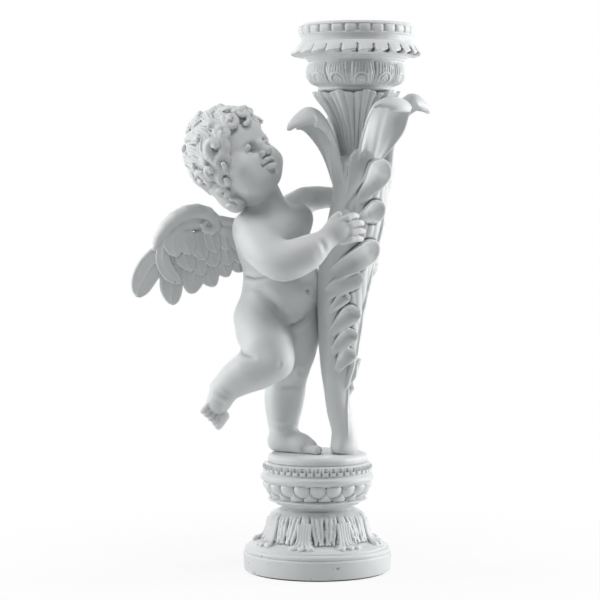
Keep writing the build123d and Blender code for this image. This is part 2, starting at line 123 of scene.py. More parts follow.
def joinPieces(name, pieces):
    pickOnly(pieces[0])
    for piece in pieces:
        piece.select_set(True)
    bpy.ops.object.join()
    pieces[0].name = name
    return pieces[0]


def edgesOf(piece):
    flat = np.empty(len(piece.data.edges) * 2, np.int32)
    piece.data.edges.foreach_get("vertices", flat)
    return flat.reshape(-1, 2)


def relaxed(points, edges, times):
    count = np.bincount(edges.ravel(), minlength=len(points)).clip(1)[:, None]
    for _ in range(times):
        total = np.zeros_like(points)
        for axis in range(3):
            total[:, axis] = np.bincount(edges[:, 0], points[edges[:, 1], axis], len(points))
            total[:, axis] += np.bincount(edges[:, 1], points[edges[:, 0], axis], len(points))
        points = total / count
    return points


def storeHollows(piece, reach=6):
    # how far each point lies below the surface round it, for the painted shade and dust in the hollows and
    # the painted highlight on the ridges, in the material
    points = pointsOf(piece)
    hollow = ((relaxed(points, edgesOf(piece), reach) - points) * normalsOf(piece)).sum(1)
    layer = piece.data.attributes.new("hollow", "FLOAT", "POINT")
    layer.data.foreach_set("value", hollow.astype(np.float32))


def finishCast(piece, material, *replaced, smooth=50):
    piece.data.materials.clear()
    piece.data.materials.append(material)
    pickOnly(piece)
    bpy.ops.object.shade_smooth_by_angle(angle=math.radians(smooth))
    storeHollows(piece)
    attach(piece, "figurine")
    if replaced:
        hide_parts(*replaced)
    print("made", piece.name, len(piece.data.polygons), "faces")


# materials
def linear(code):
    values = [int(code[i:i + 2], 16) / 255 for i in (1, 3, 5)]
    return [v / 12.92 if v < 0.04045 else ((v + 0.055) / 1.055) ** 2.4 for v in values] + [1]


def addNode(tree, kind, inputs=None, **settings):
    node = tree.nodes.new(kind)
    for key, value in settings.items():
        setattr(node, key, value)
    for key, value in (inputs or {}).items():
        if isinstance(value, bpy.types.NodeSocket):
            tree.links.new(value, node.inputs[key])
        else:
            node.inputs[key].default_value = value
    return node


def newMaterial(name):
    material = bpy.data.materials.new(name)
    material.use_nodes = True
    tree = material.node_tree
    tree.nodes.clear()
    shader = addNode(tree, "ShaderNodeBsdfPrincipled")
    addNode(tree, "ShaderNodeOutputMaterial", {"Surface": shader.outputs[0]})
    place = addNode(tree, "ShaderNodeTexCoord").outputs["Object"]
    return material, tree, shader, place


def blendColours(tree, factor, first, second):
    mix = addNode(tree, "ShaderNodeMix", {"Factor": factor}, data_type="RGBA")
    for socket, value in ((mix.inputs[6], first), (mix.inputs[7], second)):
        if isinstance(value, bpy.types.NodeSocket):
            tree.links.new(value, socket)
        else:
            socket.default_value = value
    return mix.outputs[2]


resin = dict(
    white="#DFE1E1", shade="#D6D9DA",  # slow mottling, from the white wash rubbed over the cast
    dustAndShade="#80868A", edge="#ECEDED",  # painted shade with some dust in the hollows, and a painted highlight on the ridges
    mottle=16, grain=1.1, pores=3.2,  # mm
    speckColour="#6F7375",
)


def castResin(name, specks):
    # polyresin cast in a rubber mould and washed matt white: soft highlights, painted shade with dust in
    # the darker hollows, and a painted highlight on the ridges
    material, tree, shader, place = newMaterial(name)
    mottle = addNode(tree, "ShaderNodeTexNoise", {
        "Vector": place, "Scale": 1 / (resin["mottle"] * mm), "Detail": 3, "Roughness": 0.55})
    colour = blendColours(tree, mottle.outputs[0], linear(resin["white"]), linear(resin["shade"]))
    hollow = addNode(tree, "ShaderNodeAttribute", attribute_name="hollow").outputs["Fac"]
    # painted shade, with some dust: the colour darkens towards the dust colour in the hollows
    deep = addNode(tree, "ShaderNodeMapRange", {
        "Value": hollow, "From Min": 0.06, "From Max": 0.85, "To Max": 0.95},
        interpolation_type="SMOOTHSTEP").outputs[0]
    # painted highlight: the colour lightens towards the edge colour on ridges
    ridgeHighlight = addNode(tree, "ShaderNodeMapRange", {
        "Value": hollow, "From Min": -0.08, "From Max": -0.5, "To Max": 0.8}).outputs[0]
    colour = blendColours(tree, ridgeHighlight, colour, linear(resin["edge"]))
    colour = blendColours(tree, deep, colour, linear(resin["dustAndShade"]))
    grain = addNode(tree, "ShaderNodeTexNoise", {
        "Vector": place, "Scale": 1 / (resin["grain"] * mm), "Detail": 4, "Roughness": 0.6})
    height = grain.outputs[0]
    if specks:
        # chips and pinholes that the wash has left dark, most on the drum of the plinth
        pores = addNode(tree, "ShaderNodeTexVoronoi", {
            "Vector": place, "Scale": 1 / (resin["pores"] * mm), "Randomness": 1})
        rare = addNode(tree, "ShaderNodeTexNoise", {
            "Vector": place, "Scale": 1 / (14 * mm), "Detail": 2})
        reach = addNode(tree, "ShaderNodeMapRange", {
            "Value": rare.outputs[0], "From Min": 0.58, "From Max": 0.72, "To Max": 0.26})
        speck = addNode(tree, "ShaderNodeMath", {
            0: pores.outputs["Distance"], 1: reach.outputs[0]}, operation="LESS_THAN").outputs[0]
        colour = blendColours(tree, speck, colour, linear(resin["speckColour"]))
        height = addNode(tree, "ShaderNodeMath", {
            0: speck, 1: -0.9, 2: height}, operation="MULTIPLY_ADD").outputs[0]
    tree.links.new(colour, shader.inputs["Base Color"])
    rough = addNode(tree, "ShaderNodeMapRange", {
        "Value": grain.outputs[0], "To Min": 0.42, "To Max": 0.58})
    tree.links.new(rough.outputs[0], shader.inputs["Roughness"])
    bump = addNode(tree, "ShaderNodeBump", {
        "Strength": 0.35, "Distance": 0.25 * mm, "Height": height})
    tree.links.new(bump.outputs[0], shader.inputs["Normal"])
    shader.inputs["IOR"].default_value = 1.5
    return material


def drawnSteel(name, colour, stretch, roughness):
    # steel wire or sheet: bright, with fine drawing lines along the length
    material, tree, shader, place = newMaterial(name)
    place = addNode(tree, "ShaderNodeMapping", {"Vector": place, "Scale": stretch}).outputs[0]
    lines = addNode(tree, "ShaderNodeTexNoise", {"Vector": place, "Scale": 1 / (0.8 * mm), "Detail": 5})
    shader.inputs["Base Color"].default_value = linear(colour)
    shader.inputs["Metallic"].default_value = 1
    rough = addNode(tree, "ShaderNodeMapRange", {
        "Value": lines.outputs[0], "To Min": roughness - 0.08, "To Max": roughness + 0.1})
    tree.links.new(rough.outputs[0], shader.inputs["Roughness"])
    bump = addNode(tree, "ShaderNodeBump", {
        "Strength": 0.2, "Distance": 0.05 * mm, "Height": lines.outputs[0]})
    tree.links.new(bump.outputs[0], shader.inputs["Normal"])
    return material


def pressedFelt(name, colour, dark):
    # wool felt: no gloss, short fibres matted in every direction
    material, tree, shader, place = newMaterial(name)
    fibres = addNode(tree, "ShaderNodeTexNoise", {
        "Vector": place, "Scale": 1 / (0.6 * mm), "Detail": 6, "Roughness": 0.7, "Distortion": 1.5})
    tree.links.new(blendColours(tree, fibres.outputs[0], linear(dark), linear(colour)),
                   shader.inputs["Base Color"])
    shader.inputs["Roughness"].default_value = 0.95
    shader.inputs["Sheen Weight"].default_value = 0.4
    bump = addNode(tree, "ShaderNodeBump", {
        "Strength": 0.6, "Distance": 0.3 * mm, "Height": fibres.outputs[0]})
    tree.links.new(bump.outputs[0], shader.inputs["Normal"])
    return material


castPlain = castResin("cast resin, washed white", False)
castChipped = castResin("cast resin, washed white and chipped", True)
panSteel = drawnSteel("pressed steel sheet", "#B9BBBD", (1, 1, 6), 0.3)
pinSteel = drawnSteel("drawn steel wire", "#A9ABAD", (1, 1, 0.1), 0.35)
zincSteel = drawnSteel("zinc plated steel", "#C3C6C4", (1, 1, 0.4), 0.4)
felt = pressedFelt("pressed wool felt", "#8E9290", "#5F6463")
print("materials done")


# floor, lights and camera, in metres
def whiteToTheEye(tree, shader, strength):
    # the camera, and what metal mirrors, see plain white here, and the lamps see the real surface
    path = addNode(tree, "ShaderNodeLightPath")
    seen = addNode(tree, "ShaderNodeMath", {
        0: path.outputs["Is Camera Ray"], 1: path.outputs["Is Glossy Ray"]}, operation="MAXIMUM")
    seen = addNode(tree, "ShaderNodeMath", {
        0: seen.outputs[0], 1: path.outputs["Is Transmission Ray"]}, operation="MAXIMUM")
    share = addNode(tree, "ShaderNodeMath", {0: seen.outputs[0], 1: strength}, operation="MULTIPLY")
    return addNode(tree, "ShaderNodeMixShader", {0: share.outputs[0], 1: shader, 2: plainWhite(tree)})


def plainWhite(tree):
    if tree.nodes.get("World Output"):
        return addNode(tree, "ShaderNodeBackground", {"Color": (1, 1, 1, 1), "Strength": 1}).outputs[0]
    return addNode(tree, "ShaderNodeEmission", {"Color": (1, 1, 1, 1), "Strength": 1}).outputs[0]


stage = dict(
    floorColour="#EDEEEE", floorHalf=6.0, floorWhite=0.86, shadowReach=0.45,
    skyColour="#DDE1E4", skyStrength=0.05,
)
deselectAll()
bpy.ops.mesh.primitive_plane_add(size=2 * stage["floorHalf"], location=(0, 0, 0))
floor = bpy.context.object
floor.name = "floor"
paper = bpy.data.materials.new("matt white paper")
paper.use_nodes = True
paperTree = paper.node_tree
paperShader = paperTree.nodes["Principled BSDF"]
paperShader.inputs["Base Color"].default_value = linear(stage["floorColour"])
paperShader.inputs["Roughness"].default_value = 0.9
# the shadow shows only round the foot, and the paper is plain white further out
paperPlace = addNode(paperTree, "ShaderNodeTexCoord").outputs["Object"]
paperFar = addNode(paperTree, "ShaderNodeVectorMath", {0: paperPlace}, operation="LENGTH").outputs["Value"]
paperWhite = addNode(paperTree, "ShaderNodeMapRange", {
    "Value": paperFar, "From Min": 0.08, "From Max": stage["shadowReach"],
    "To Min": stage["floorWhite"]}).outputs[0]
mixed = whiteToTheEye(paperTree, paperShader.outputs[0], paperWhite)
paperTree.links.new(mixed.outputs[0], paperTree.nodes["Material Output"].inputs["Surface"])
floor.data.materials.append(paper)

sky = bpy.data.worlds.new("studio")
bpy.context.scene.world = sky
sky.use_nodes = True
skyTree = sky.node_tree
skyTree.nodes["Background"].inputs["Color"].default_value = linear(stage["skyColour"])
skyTree.nodes["Background"].inputs["Strength"].default_value = stage["skyStrength"]
mixed = whiteToTheEye(skyTree, skyTree.nodes["Background"].outputs[0], 1.0)
skyTree.links.new(mixed.outputs[0], skyTree.nodes["World Output"].inputs["Surface"])

lamps = [
    # name, place, aim, width, height, watts
    ("left bank", (-1.42, 0.06, 0.60), (-0.02, 0, 0.26), 0.7, 1.5, 16.5),
    ("right bank", (1.42, 0.26, 0.42), (0.02, 0, 0.22), 0.6, 1.2, 22.5),
    ("back bank", (-0.5, 1.5, 0.80), (0, 0, 0.26), 1.0, 1.2, 4.5),
    ("left front", (-1.05, -1.20, 1.30), (0, 0, 0.27), 0.6, 0.7, 2.6),
    ("top", (0.14, -0.40, 1.60), (-0.04, 0, 0.34), 0.7, 0.6, 8.4),
]
for lampName, place, aim, width, tall, watts in lamps:
    deselectAll()
    bpy.ops.object.light_add(type="AREA", location=place)
    lamp = bpy.context.object
    lamp.name = lampName
    lamp.data.shape = "RECTANGLE"
    lamp.data.size = width
    lamp.data.size_y = tall
    lamp.data.energy = watts
    lamp.rotation_euler = (Vector(aim) - Vector(place)).to_track_quat("-Z", "Y").to_euler()

deselectAll()
view = dict(place=(-0.016, -1.900, 0.3325), down=2.515, sensor=36, lens=124.3)
bpy.ops.object.camera_add(location=view["place"], rotation=(math.radians(90 - view["down"]), 0, 0))
camera = bpy.context.object
camera.data.sensor_width = view["sensor"]
camera.data.lens = view["lens"]
bpy.context.scene.camera = camera
bpy.context.scene.view_settings.view_transform = "Standard"
print("stage done")


# turned pieces
def roundedOutline(corners, spacing):
    # corners are (radius, height, rounding), round the section of a turned piece
    outline = []
    for i, (r, z, rounding) in enumerate(corners):
        here = Vector((r, z))
        toLast = Vector(corners[i - 1][:2]) - here
        toNext = Vector(corners[(i + 1) % len(corners)][:2]) - here
        cut = min(rounding, 0.49 * toLast.length, 0.49 * toNext.length)
        if cut < 0.05:
            outline.append(here)
            continue
        start, end = here + toLast.normalized() * cut, here + toNext.normalized() * cut
        steps = max(3, round(1.6 * cut / spacing))
        for k in range(steps + 1):
            t = k / steps
            outline.append(start * (1 - t) ** 2 + here * (2 * t * (1 - t)) + end * t * t)
    filled = []
    for i, here in enumerate(outline):
        toNext = outline[(i + 1) % len(outline)] - here
        parts = max(1, math.ceil(toNext.length / spacing - 0.01))
        filled += [here + toNext * (k / parts) for k in range(parts)]
    return filled


def turnedPiece(name, corners, spacing, steps):
    outline = roundedOutline(corners, spacing)
    deselectAll()
    bpy.ops.mesh.primitive_circle_add(vertices=len(outline), radius=0.01)
    piece = bpy.context.object
    piece.name = name
    movePoints(piece, np.array([(p[0], 0, p[1]) for p in outline]))
    startEditing(piece)
    bpy.ops.mesh.spin(steps=steps, angle=2 * math.pi, center=(0, 0, 0), axis=(0, 0, 1))
    closeShell()
    return piece


def aroundAxis(piece):
    points = pointsOf(piece)
    return np.hypot(points[:, 0], points[:, 1]), np.arctan2(points[:, 1], points[:, 0]), points[:, 2]


def pushOut(piece, r, angle, z, extra, lift=0.0, axis=(0, 0, 0)):
    # moves each point away from the axis and up, and then stands the piece on its axis
    moved = np.stack([(r + extra) * np.cos(angle), (r + extra) * np.sin(angle), z + lift], 1)
    movePoints(piece, moved + np.array(axis))


def ramp(value, low, high):
    t = np.clip((value - low) / (high - low), 0, 1)
    return t * t * (3 - 2 * t)


def bell(value, middle, spread):
    return np.exp(-((value - middle) / spread) ** 2)


def share(angle, count, first=0.0):
    # place in the repeat, -1 to 1, with 0 at its middle
    turn = (angle - math.radians(first)) / (2 * math.pi) * count
    return 2 * (turn - np.floor(turn + 0.5))


# plinth: drum with two fillets, and a bell of eight acanthus leaves
plinthLow, plinthHigh = boxOf("plinth")
plinth = dict(drum=plinthHigh[0], foot=plinthLow[2], drumTop=18.0, neck=31.5, neckLevel=plinthHigh[2],
              cavity=59.0, ceiling=boxOf("tie_washer")[1][2], leaves=8, firstLeaf=-105, ribs=3,
              ribDepth=1.15)


def makePlinth():
    p = plinth
    piece = turnedPiece("plinth_turned", [
        (4.3, p["ceiling"], 0), (22, p["ceiling"], 2), (p["cavity"], 13, 3),
        (p["cavity"], p["foot"], 0),
        (p["drum"] - 0.6, p["foot"], 1.4), (p["drum"], p["foot"] + 6, 4),
        (p["drum"], p["drumTop"] - 0.4, 0.8),
        (p["drum"] - 1.8, p["drumTop"] + 0.5, 0.4), (p["drum"] - 0.9, p["drumTop"] + 1.2, 0.5),
        (p["drum"] - 1.0, p["drumTop"] + 4.0, 1.6),
        (p["drum"] - 4.0, p["drumTop"] + 5.2, 0.5), (p["drum"] - 4.2, p["drumTop"] + 6.3, 0.5),
        (p["drum"] - 8.5, p["drumTop"] + 8.6, 2.5),
        (51.5, p["drumTop"] + 10.2, 2.0), (48.6, 33.5, 6), (45.2, 44, 8), (43.2, 52.5, 5), (36, 57.0, 3),
        (p["neck"], p["neckLevel"], 0), (4.3, p["neckLevel"], 0),
    ], 0.8, 312)
    r, angle, z = aroundAxis(piece)
    outside = (z > 27.5) & (r > 30) & (z < 57.4)
    w = np.abs(share(angle, p["leaves"], p["firstLeaf"]))  # 0 on a midrib, 1 between two leaves
    s = np.clip((57.5 - z) / 29.5, 0, 1)
    tongue = 0.20 + 0.20 * s + 0.08 * s ** 3
    inTongue = np.clip(w / tongue, 0, 1)
    mid = 0.6 + 0.8 * np.sqrt(1 - 0.96 * inTongue ** 2) + 0.3 * np.cos(inTongue * 4 * math.pi)
    q = np.clip((w - tongue) / (1 - tongue), 0, 1)
    fan = q ** (1.0 + 0.35 * s)
    rib = np.abs(np.sin(math.pi * (fan * p["ribs"] + 0.02))) ** 0.8
    side = p["ribDepth"] * (rib - 0.5) + 1.1 * (1 - (2 * q - 1) ** 2) * ramp(s, 0, 0.6)
    relief = np.where(w < tongue, mid, side)
    relief -= 0.9 * bell(w, tongue, 0.05)
    hem = 0.88 + 0.07 * rib  # the scalloped lower edge of the side lobes
    relief = relief * (1 - ramp(s, hem - 0.02, hem + 0.015)) - 1.0 * ramp(s, hem - 0.02, hem + 0.015)
    drilled = bell(w, 1.0, 0.05) * bell(z, 47.5, 3.6) + 0.9 * bell(w, 1.0, 0.07) * bell(z, 33.5, 3.0)
    drilled += 1.0 * bell(w, tongue + 0.05, 0.04) * bell(z, 34, 3.5)
    drilled += 0.6 * bell(w, 0.72, 0.04) * bell(z, 32.0, 2.0)
    fade = ramp(57.3 - z, 0.5, 5) * ramp(z, 27.8, 29.5)
    extra = np.where(outside, (relief - 2.9 * drilled) * fade, 0)
    # chips knocked out of the drum's edge
    chips = random.Random(4)
    for _ in range(16):
        turn, level = chips.uniform(-math.pi, math.pi), chips.choice([3.0, p["drumTop"] - 0.3, 12.0])
        size = chips.uniform(0.7, 1.9)
        far = np.hypot(p["drum"] * np.angle(np.exp(1j * (angle - turn))), (z - level) * 1.4)
        extra -= np.where(r > 64, chips.uniform(0.4, 1.1) * np.exp(-(far / size) ** 4), 0)
    pushOut(piece, r, angle, z, extra)
    return piece


class Clay:
    # a block of points that holds the distance to a modelled surface, which skin() meshes

    def __init__(self, low, high, step):
        self.low, self.step = np.array(low, float), step
        counts = np.ceil((np.array(high, float) - self.low) / step).astype(int) + 1
        self.axes = [self.low[i] + step * np.arange(counts[i]) for i in range(3)]
        self.value = np.full(counts, 30.0, np.float32)

    def block(self, low, high):
        cuts = []
        for i in range(3):
            start = int(max(0, math.floor((low[i] - self.low[i]) / self.step)))
            end = int(min(len(self.axes[i]), math.ceil((high[i] - self.low[i]) / self.step) + 2))
            cuts.append(slice(start, max(start, end)))
        grid = np.meshgrid(*[self.axes[i][cuts[i]] for i in range(3)], indexing="ij", copy=False)
        return tuple(cuts), grid

    def merge(self, cuts, distance, blend, carve):
        old = self.value[cuts]
        if carve:
            old = -old
        if blend > 0:
            t = np.clip(0.5 + 0.5 * (distance - old) / blend, 0, 1)
            new = distance + (old - distance) * t - blend * t * (1 - t)
        else:
            new = np.minimum(old, distance)
        self.value[cuts] = -new if carve else new

    def limb(self, start, end, startRadius, endRadius, blend=0.0, carve=False):
        a, b = np.array(start, float), np.array(end, float)
        reach = max(startRadius, endRadius) + blend + 2 * self.step
        cuts, (x, y, z) = self.block(np.minimum(a, b) - reach, np.maximum(a, b) + reach)
        d = b - a
        t = np.clip(((x - a[0]) * d[0] + (y - a[1]) * d[1] + (z - a[2]) * d[2]) / max(d @ d, 1e-6), 0, 1)
        far = np.sqrt((x - a[0] - t * d[0]) ** 2 + (y - a[1] - t * d[1]) ** 2 + (z - a[2] - t * d[2]) ** 2)
        self.merge(cuts, far - (startRadius + t * (endRadius - startRadius)), blend, carve)

    def chain(self, stops, blend=0.0, carve=False):
        # stops are (x, y, z, radius)
        for one, two in zip(stops, stops[1:]):
            self.limb(one[:3], two[:3], one[3], two[3], blend, carve)

    def ball(self, centre, radii, blend=0.0, carve=False, axes=None):
        # axes are three unit vectors along which the radii lie
        c = np.array(centre, float)
        radii = np.array(radii, float) * np.ones(3)
        reach = radii.max() + blend + 2 * self.step
        cuts, (x, y, z) = self.block(c - reach, c + reach)
        x, y, z = x - c[0], y - c[1], z - c[2]
        if axes is not None:
            x, y, z = [x * v[0] + y * v[1] + z * v[2] for v in axes]
        near = np.sqrt((x / radii[0]) ** 2 + (y / radii[1]) ** 2 + (z / radii[2]) ** 2)
        steep = np.sqrt((x / radii[0] ** 2) ** 2 + (y / radii[1] ** 2) ** 2 + (z / radii[2] ** 2) ** 2)
        self.merge(cuts, near * (near - 1) / np.maximum(steep, 1e-6), blend, carve)

    def skin(self):
        value = self.value
        inside = value < 0
        shape = value.shape
        total = np.zeros([n - 1 for n in shape], np.int8)
        corners = [(i, j, k) for i in (0, 1) for j in (0, 1) for k in (0, 1)]
        for i, j, k in corners:
            total += inside[i:shape[0] - 1 + i, j:shape[1] - 1 + j, k:shape[2] - 1 + k]
        mixed = (total > 0) & (total < 8)
        cells = np.argwhere(mixed)
        number = np.full(mixed.shape, -1)
        number[mixed] = np.arange(len(cells))
        points, hits = np.zeros((len(cells), 3)), np.zeros(len(cells))
        for one in corners:
            for axis in range(3):
                if one[axis]:
                    continue
                two = list(one)
                two[axis] = 1
                a = value[tuple((cells + one).T)]
                b = value[tuple((cells + two).T)]
                cross = (a < 0) != (b < 0)
                t = np.where(cross, a / np.where(cross, a - b, 1), 0)
                spot = np.repeat([one], len(cells), 0).astype(float)
                spot[:, axis] += t
                points[cross] += spot[cross]
                hits[cross] += 1
        points = self.low + self.step * (cells + points / hits[:, None])
        faces = []
        for axis in range(3):
            u, v = (axis + 1) % 3, (axis + 2) % 3
            first = [slice(None)] * 3
            first[axis] = slice(0, -1)
            second = [slice(None)] * 3
            second[axis] = slice(1, None)
            a, b = inside[tuple(first)], inside[tuple(second)]
            for flip, change in ((False, a & ~b), (True, ~a & b)):
                spots = np.argwhere(change)
                keep = (spots[:, u] > 0) & (spots[:, v] > 0)
                keep &= (spots[:, u] < shape[u] - 1) & (spots[:, v] < shape[v] - 1)
                spots = spots[keep]
                ring = []
                for du, dv in ((-1, -1), (0, -1), (0, 0), (-1, 0)):
                    cell = spots.copy()
                    cell[:, u] += du
                    cell[:, v] += dv
                    ring.append(number[tuple(cell.T)])
                faces.append(np.stack(ring[::-1] if flip else ring, 1))
        return points, np.concatenate(faces)


# one rolled acanthus tip, modelled once and copied round the plinth
leafTip = dict(reach=57.2, level=27.6, half=10.2, step=0.7)


def makeLeafTips():
    p = leafTip
    clay = Clay((38, -15, 19), (66, 15, 50), p["step"])
    stations = ((45.2, 48, 0.52), (47.2, 40, 0.50), (49.6, 33.5, 0.54), (52.4, 30.4, 0.66),
                (p["reach"] - 1.6, 28.8, 0.90),
                (p["reach"], 28.0, 1.0))
    for k in range(-2, 3):
        stops = []
        for r, z, spread in stations:
            stops.append((r, 0.5 * k * p["half"] * spread, z - 0.3 * abs(k) * spread, 0.9 + 1.0 * spread))
        clay.chain(stops, 0.45)
    for y, size in ((-7.9, 3.5), (0.3, 3.9), (8.0, 3.4)):
        clay.ball((p["reach"] + 0.9 - 0.15 * abs(y), y, p["level"] - 0.4), (3.1, size, 2.9), 0.8)
    for y in (-4.0, 4.3):
        clay.limb((p["reach"] + 1.5, y, p["level"] - 3.0), (p["reach"] + 2.5, y, p["level"] + 1.4), 1.1,
                  0.8, 0.5, True)
        clay.ball((p["reach"] + 2.6, 0.9 * y, p["level"] - 0.6), (1.5, 1.5, 1.3), 0.5, True)
    points, faces = clay.skin()
    copies = []
    for k in range(plinth["leaves"]):
        turn = math.radians(plinth["firstLeaf"] + k * 360 / plinth["leaves"])
        spun = points.copy()
        spun[:, 0] = points[:, 0] * math.cos(turn) - points[:, 1] * math.sin(turn)
        spun[:, 1] = points[:, 0] * math.sin(turn) + points[:, 1] * math.cos(turn)
        copies.append(pieceFrom(f"leaf_tip_{k}", spun, faces))
    piece = joinPieces("acanthus_tips", copies)
    applyModifier(piece, "SMOOTH", factor=0.5, iterations=2)
    return piece


finishCast(makePlinth(), castChipped, "plinth")
finishCast(makeLeafTips(), castPlain)

# bowl on the neck: a thin plate, two rows of scales, a rolled lip and a band of tongues
bowlLow, bowlHigh = boxOf("pedestal_bowl")
bowl = dict(neckLevel=bowlLow[2], neck=31.5, plate=45.8, lip=bowlHigh[0] + 0.2, top=bowlHigh[2],
            scales=20, tongues=44)


def makeBowl():
    p = bowl
    n = p["neckLevel"]
    piece = turnedPiece("pedestal_bowl_turned", [
        (4.3, n, 0), (p["neck"], n, 0), (p["neck"] + 0.8, n + 1.2, 0.8), (33.5, n + 3.0, 1.5),
        (38.5, n + 4.6, 1.5), (39.2, n + 5.8, 0.5), (41, n + 6.6, 1.5),
        (p["plate"], n + 8.4, 0.8), (p["plate"] - 0.3, n + 9.6, 0.7), (42.4, n + 10.4, 1.2),
        (43.2, n + 13, 3), (46.6, n + 18, 6), (49.0, n + 23.5, 4), (49.2, n + 25.6, 1),
        (p["lip"] - 1.6, n + 26.4, 1.2), (p["lip"] + 0.2, n + 28, 1.8), (p["lip"] + 0.2, n + 31, 1.8),
        (p["lip"] - 2.4, n + 32.8, 1.2), (48.2, n + 33.6, 0.6), (49.0, n + 35, 1), (50.0, n + 40.5, 1),
        (48.4, n + 42.0, 0.8), (46.5, p["top"], 0), (4.3, p["top"], 0),
    ], 0.75, 360)
    r, angle, z = aroundAxis(piece)
    extra = np.zeros(len(r))
    # scales, each a round disc that laps over the row above it
    band = (z > n + 10.6) & (z < n + 25.4) & (r > 40)
    scales = np.zeros(len(r))
    pitch = 2 * math.pi * 46.5 / p["scales"]
    for row, level in ((1, n + 14.4), (0, n + 20.8)):
        across = 0.5 * pitch * share(angle, p["scales"], 9.0 * row)
        far = np.hypot(across, 1.1 * (z - level)) / (0.54 * pitch)
        disc = 0.6 + 3.4 * np.clip(1 - far ** 2, 0, 1) ** 0.8
        scales = np.where(far < 1, np.maximum(disc, scales - 1.0 * (1 - row)), scales)
    extra += np.where(band, scales - 2.0, 0) * ramp(z, n + 10.6, n + 11.6) * ramp(n + 25.4 - z, 0, 1)
    # tongues
    band = (z > n + 34.2) & (z < n + 42.0) & (r > 46)
    f = np.abs(share(angle, p["tongues"]))
    tongue = 1.0 * ramp(0.80 - f, 0, 0.2) - 0.9 * bell(f, 1.0, 0.2)
    tongue -= 2.1 * ramp(0.56 - f, 0, 0.16) * ramp(z, n + 37.2, n + 38.0) * ramp(n + 41.8 - z, 0, 0.6)
    extra += np.where(band, tongue, 0) * ramp(z, n + 34.2, n + 35.2) * ramp(n + 42 - z, 0, 0.8)
    pushOut(piece, r, angle, z, extra)
    return piece


finishCast(makeBowl(), castPlain, "pedestal_bowl")

slabLow, slabHigh = boxOf("figure_slab")
slab = dict(radius=slabHigh[0], low=bowlHigh[2], high=slabHigh[2], spigot=14.0, deep=bowlHigh[2]
            - slabLow[2])


def makeSlab():
    p = slab
    piece = turnedPiece("figure_slab_cast", [
        (0.0, p["low"] - p["deep"] + 6, 0), (p["spigot"], p["low"] - p["deep"] + 6, 1),
        (p["spigot"], p["low"], 0),
        (p["radius"] - 1.2, p["low"], 1.0), (p["radius"], p["low"] + 2.4, 2),
        (p["radius"], p["high"] - 2.0, 2.4),
        (p["radius"] - 2.6, p["high"], 1.6), (0.0, p["high"] - 0.05, 0),
    ], 1.1, 240)
    r, angle, z = aroundAxis(piece)
    uneven = 0.35 * np.sin(3 * angle + 0.6) + 0.25 * np.sin(7 * angle + z * 0.2) + 0.12 * np.sin(17 * angle)
    pushOut(piece, r, angle, z, np.where(r > 20, uneven, 0) * ramp(r, 20, 44))
    return piece


finishCast(makeSlab(), castPlain, "figure_slab")
print("pedestal done")

# cup, on its own axis
cupLow, cupHigh = boxOf("cup_bowl")
cup = dict(axis=axisOf("cup_bowl"), foot=cupLow[2], joint=cupHigh[2], top=boxOf("cup_crown")[1][2],
           recess=42.5, floor=boxOf("candle_pan")[0][2], bowlRadius=45.2, flange=58.8,
           leaves=24, eggs=26, plumes=12)


def makeCupBowl():
    p = cup
    n = p["foot"]
    piece = turnedPiece("cup_bowl_cast", [
        (4.3, n, 0), (33.4, n, 0.8), (35.0, n + 1.2, 1), (35.2, n + 3.2, 1.2), (33.4, n + 4.6, 0.8),
        (35.4, n + 5.6, 1.2), (41.5, n + 8.5, 5), (p["bowlRadius"], n + 15.5, 6),
        (p["bowlRadius"] - 0.6, n + 21, 4),
        (p["bowlRadius"] - 2.0, n + 25.0, 2), (p["bowlRadius"] - 2.8, p["joint"], 0), (4.3, p["joint"], 0),
    ], 0.7, 392)
    r, angle, z = aroundAxis(piece)
    band = ramp(z, n + 5.0, n + 7.0) * ramp(n + 26.5 - z, 0, 2.5) * (r > 34)
    f = share(angle, p["plumes"], -84)  # one plume of hair-like leaf
    lean = 0.16 * np.sin(f * math.pi) * (z - n - 12)
    strands = np.abs(np.sin(0.5 * (angle * 100 + lean + 0.7 * np.sin(angle * 11 + z * 0.25)))) ** 0.8
    relief = 1.0 * (strands - 0.5) + 1.1 * (1 - np.abs(f) ** 2.4) - 0.6
    relief -= 0.7 * bell(np.abs(f), 1.0, 0.08)
    # a scroll like an eye at the foot of each plume
    across = f * math.pi / p["plumes"] * 43
    far = np.hypot(across + 0.6, 0.95 * (z - n - 9.2))
    scroll = 1.1 * bell(far, 6.2, 1.2) + 0.8 * bell(far, 3.4, 0.9) + 1.1 * bell(far, 0,
            1.4) - 0.7 * bell(far, 4.8, 0.7)
    mask = ramp(8.0 - far, 0, 1.4)
    relief = relief * (1 - mask) + scroll * mask
    pushOut(piece, r, angle, z, relief * band, axis=p["axis"])
    return piece


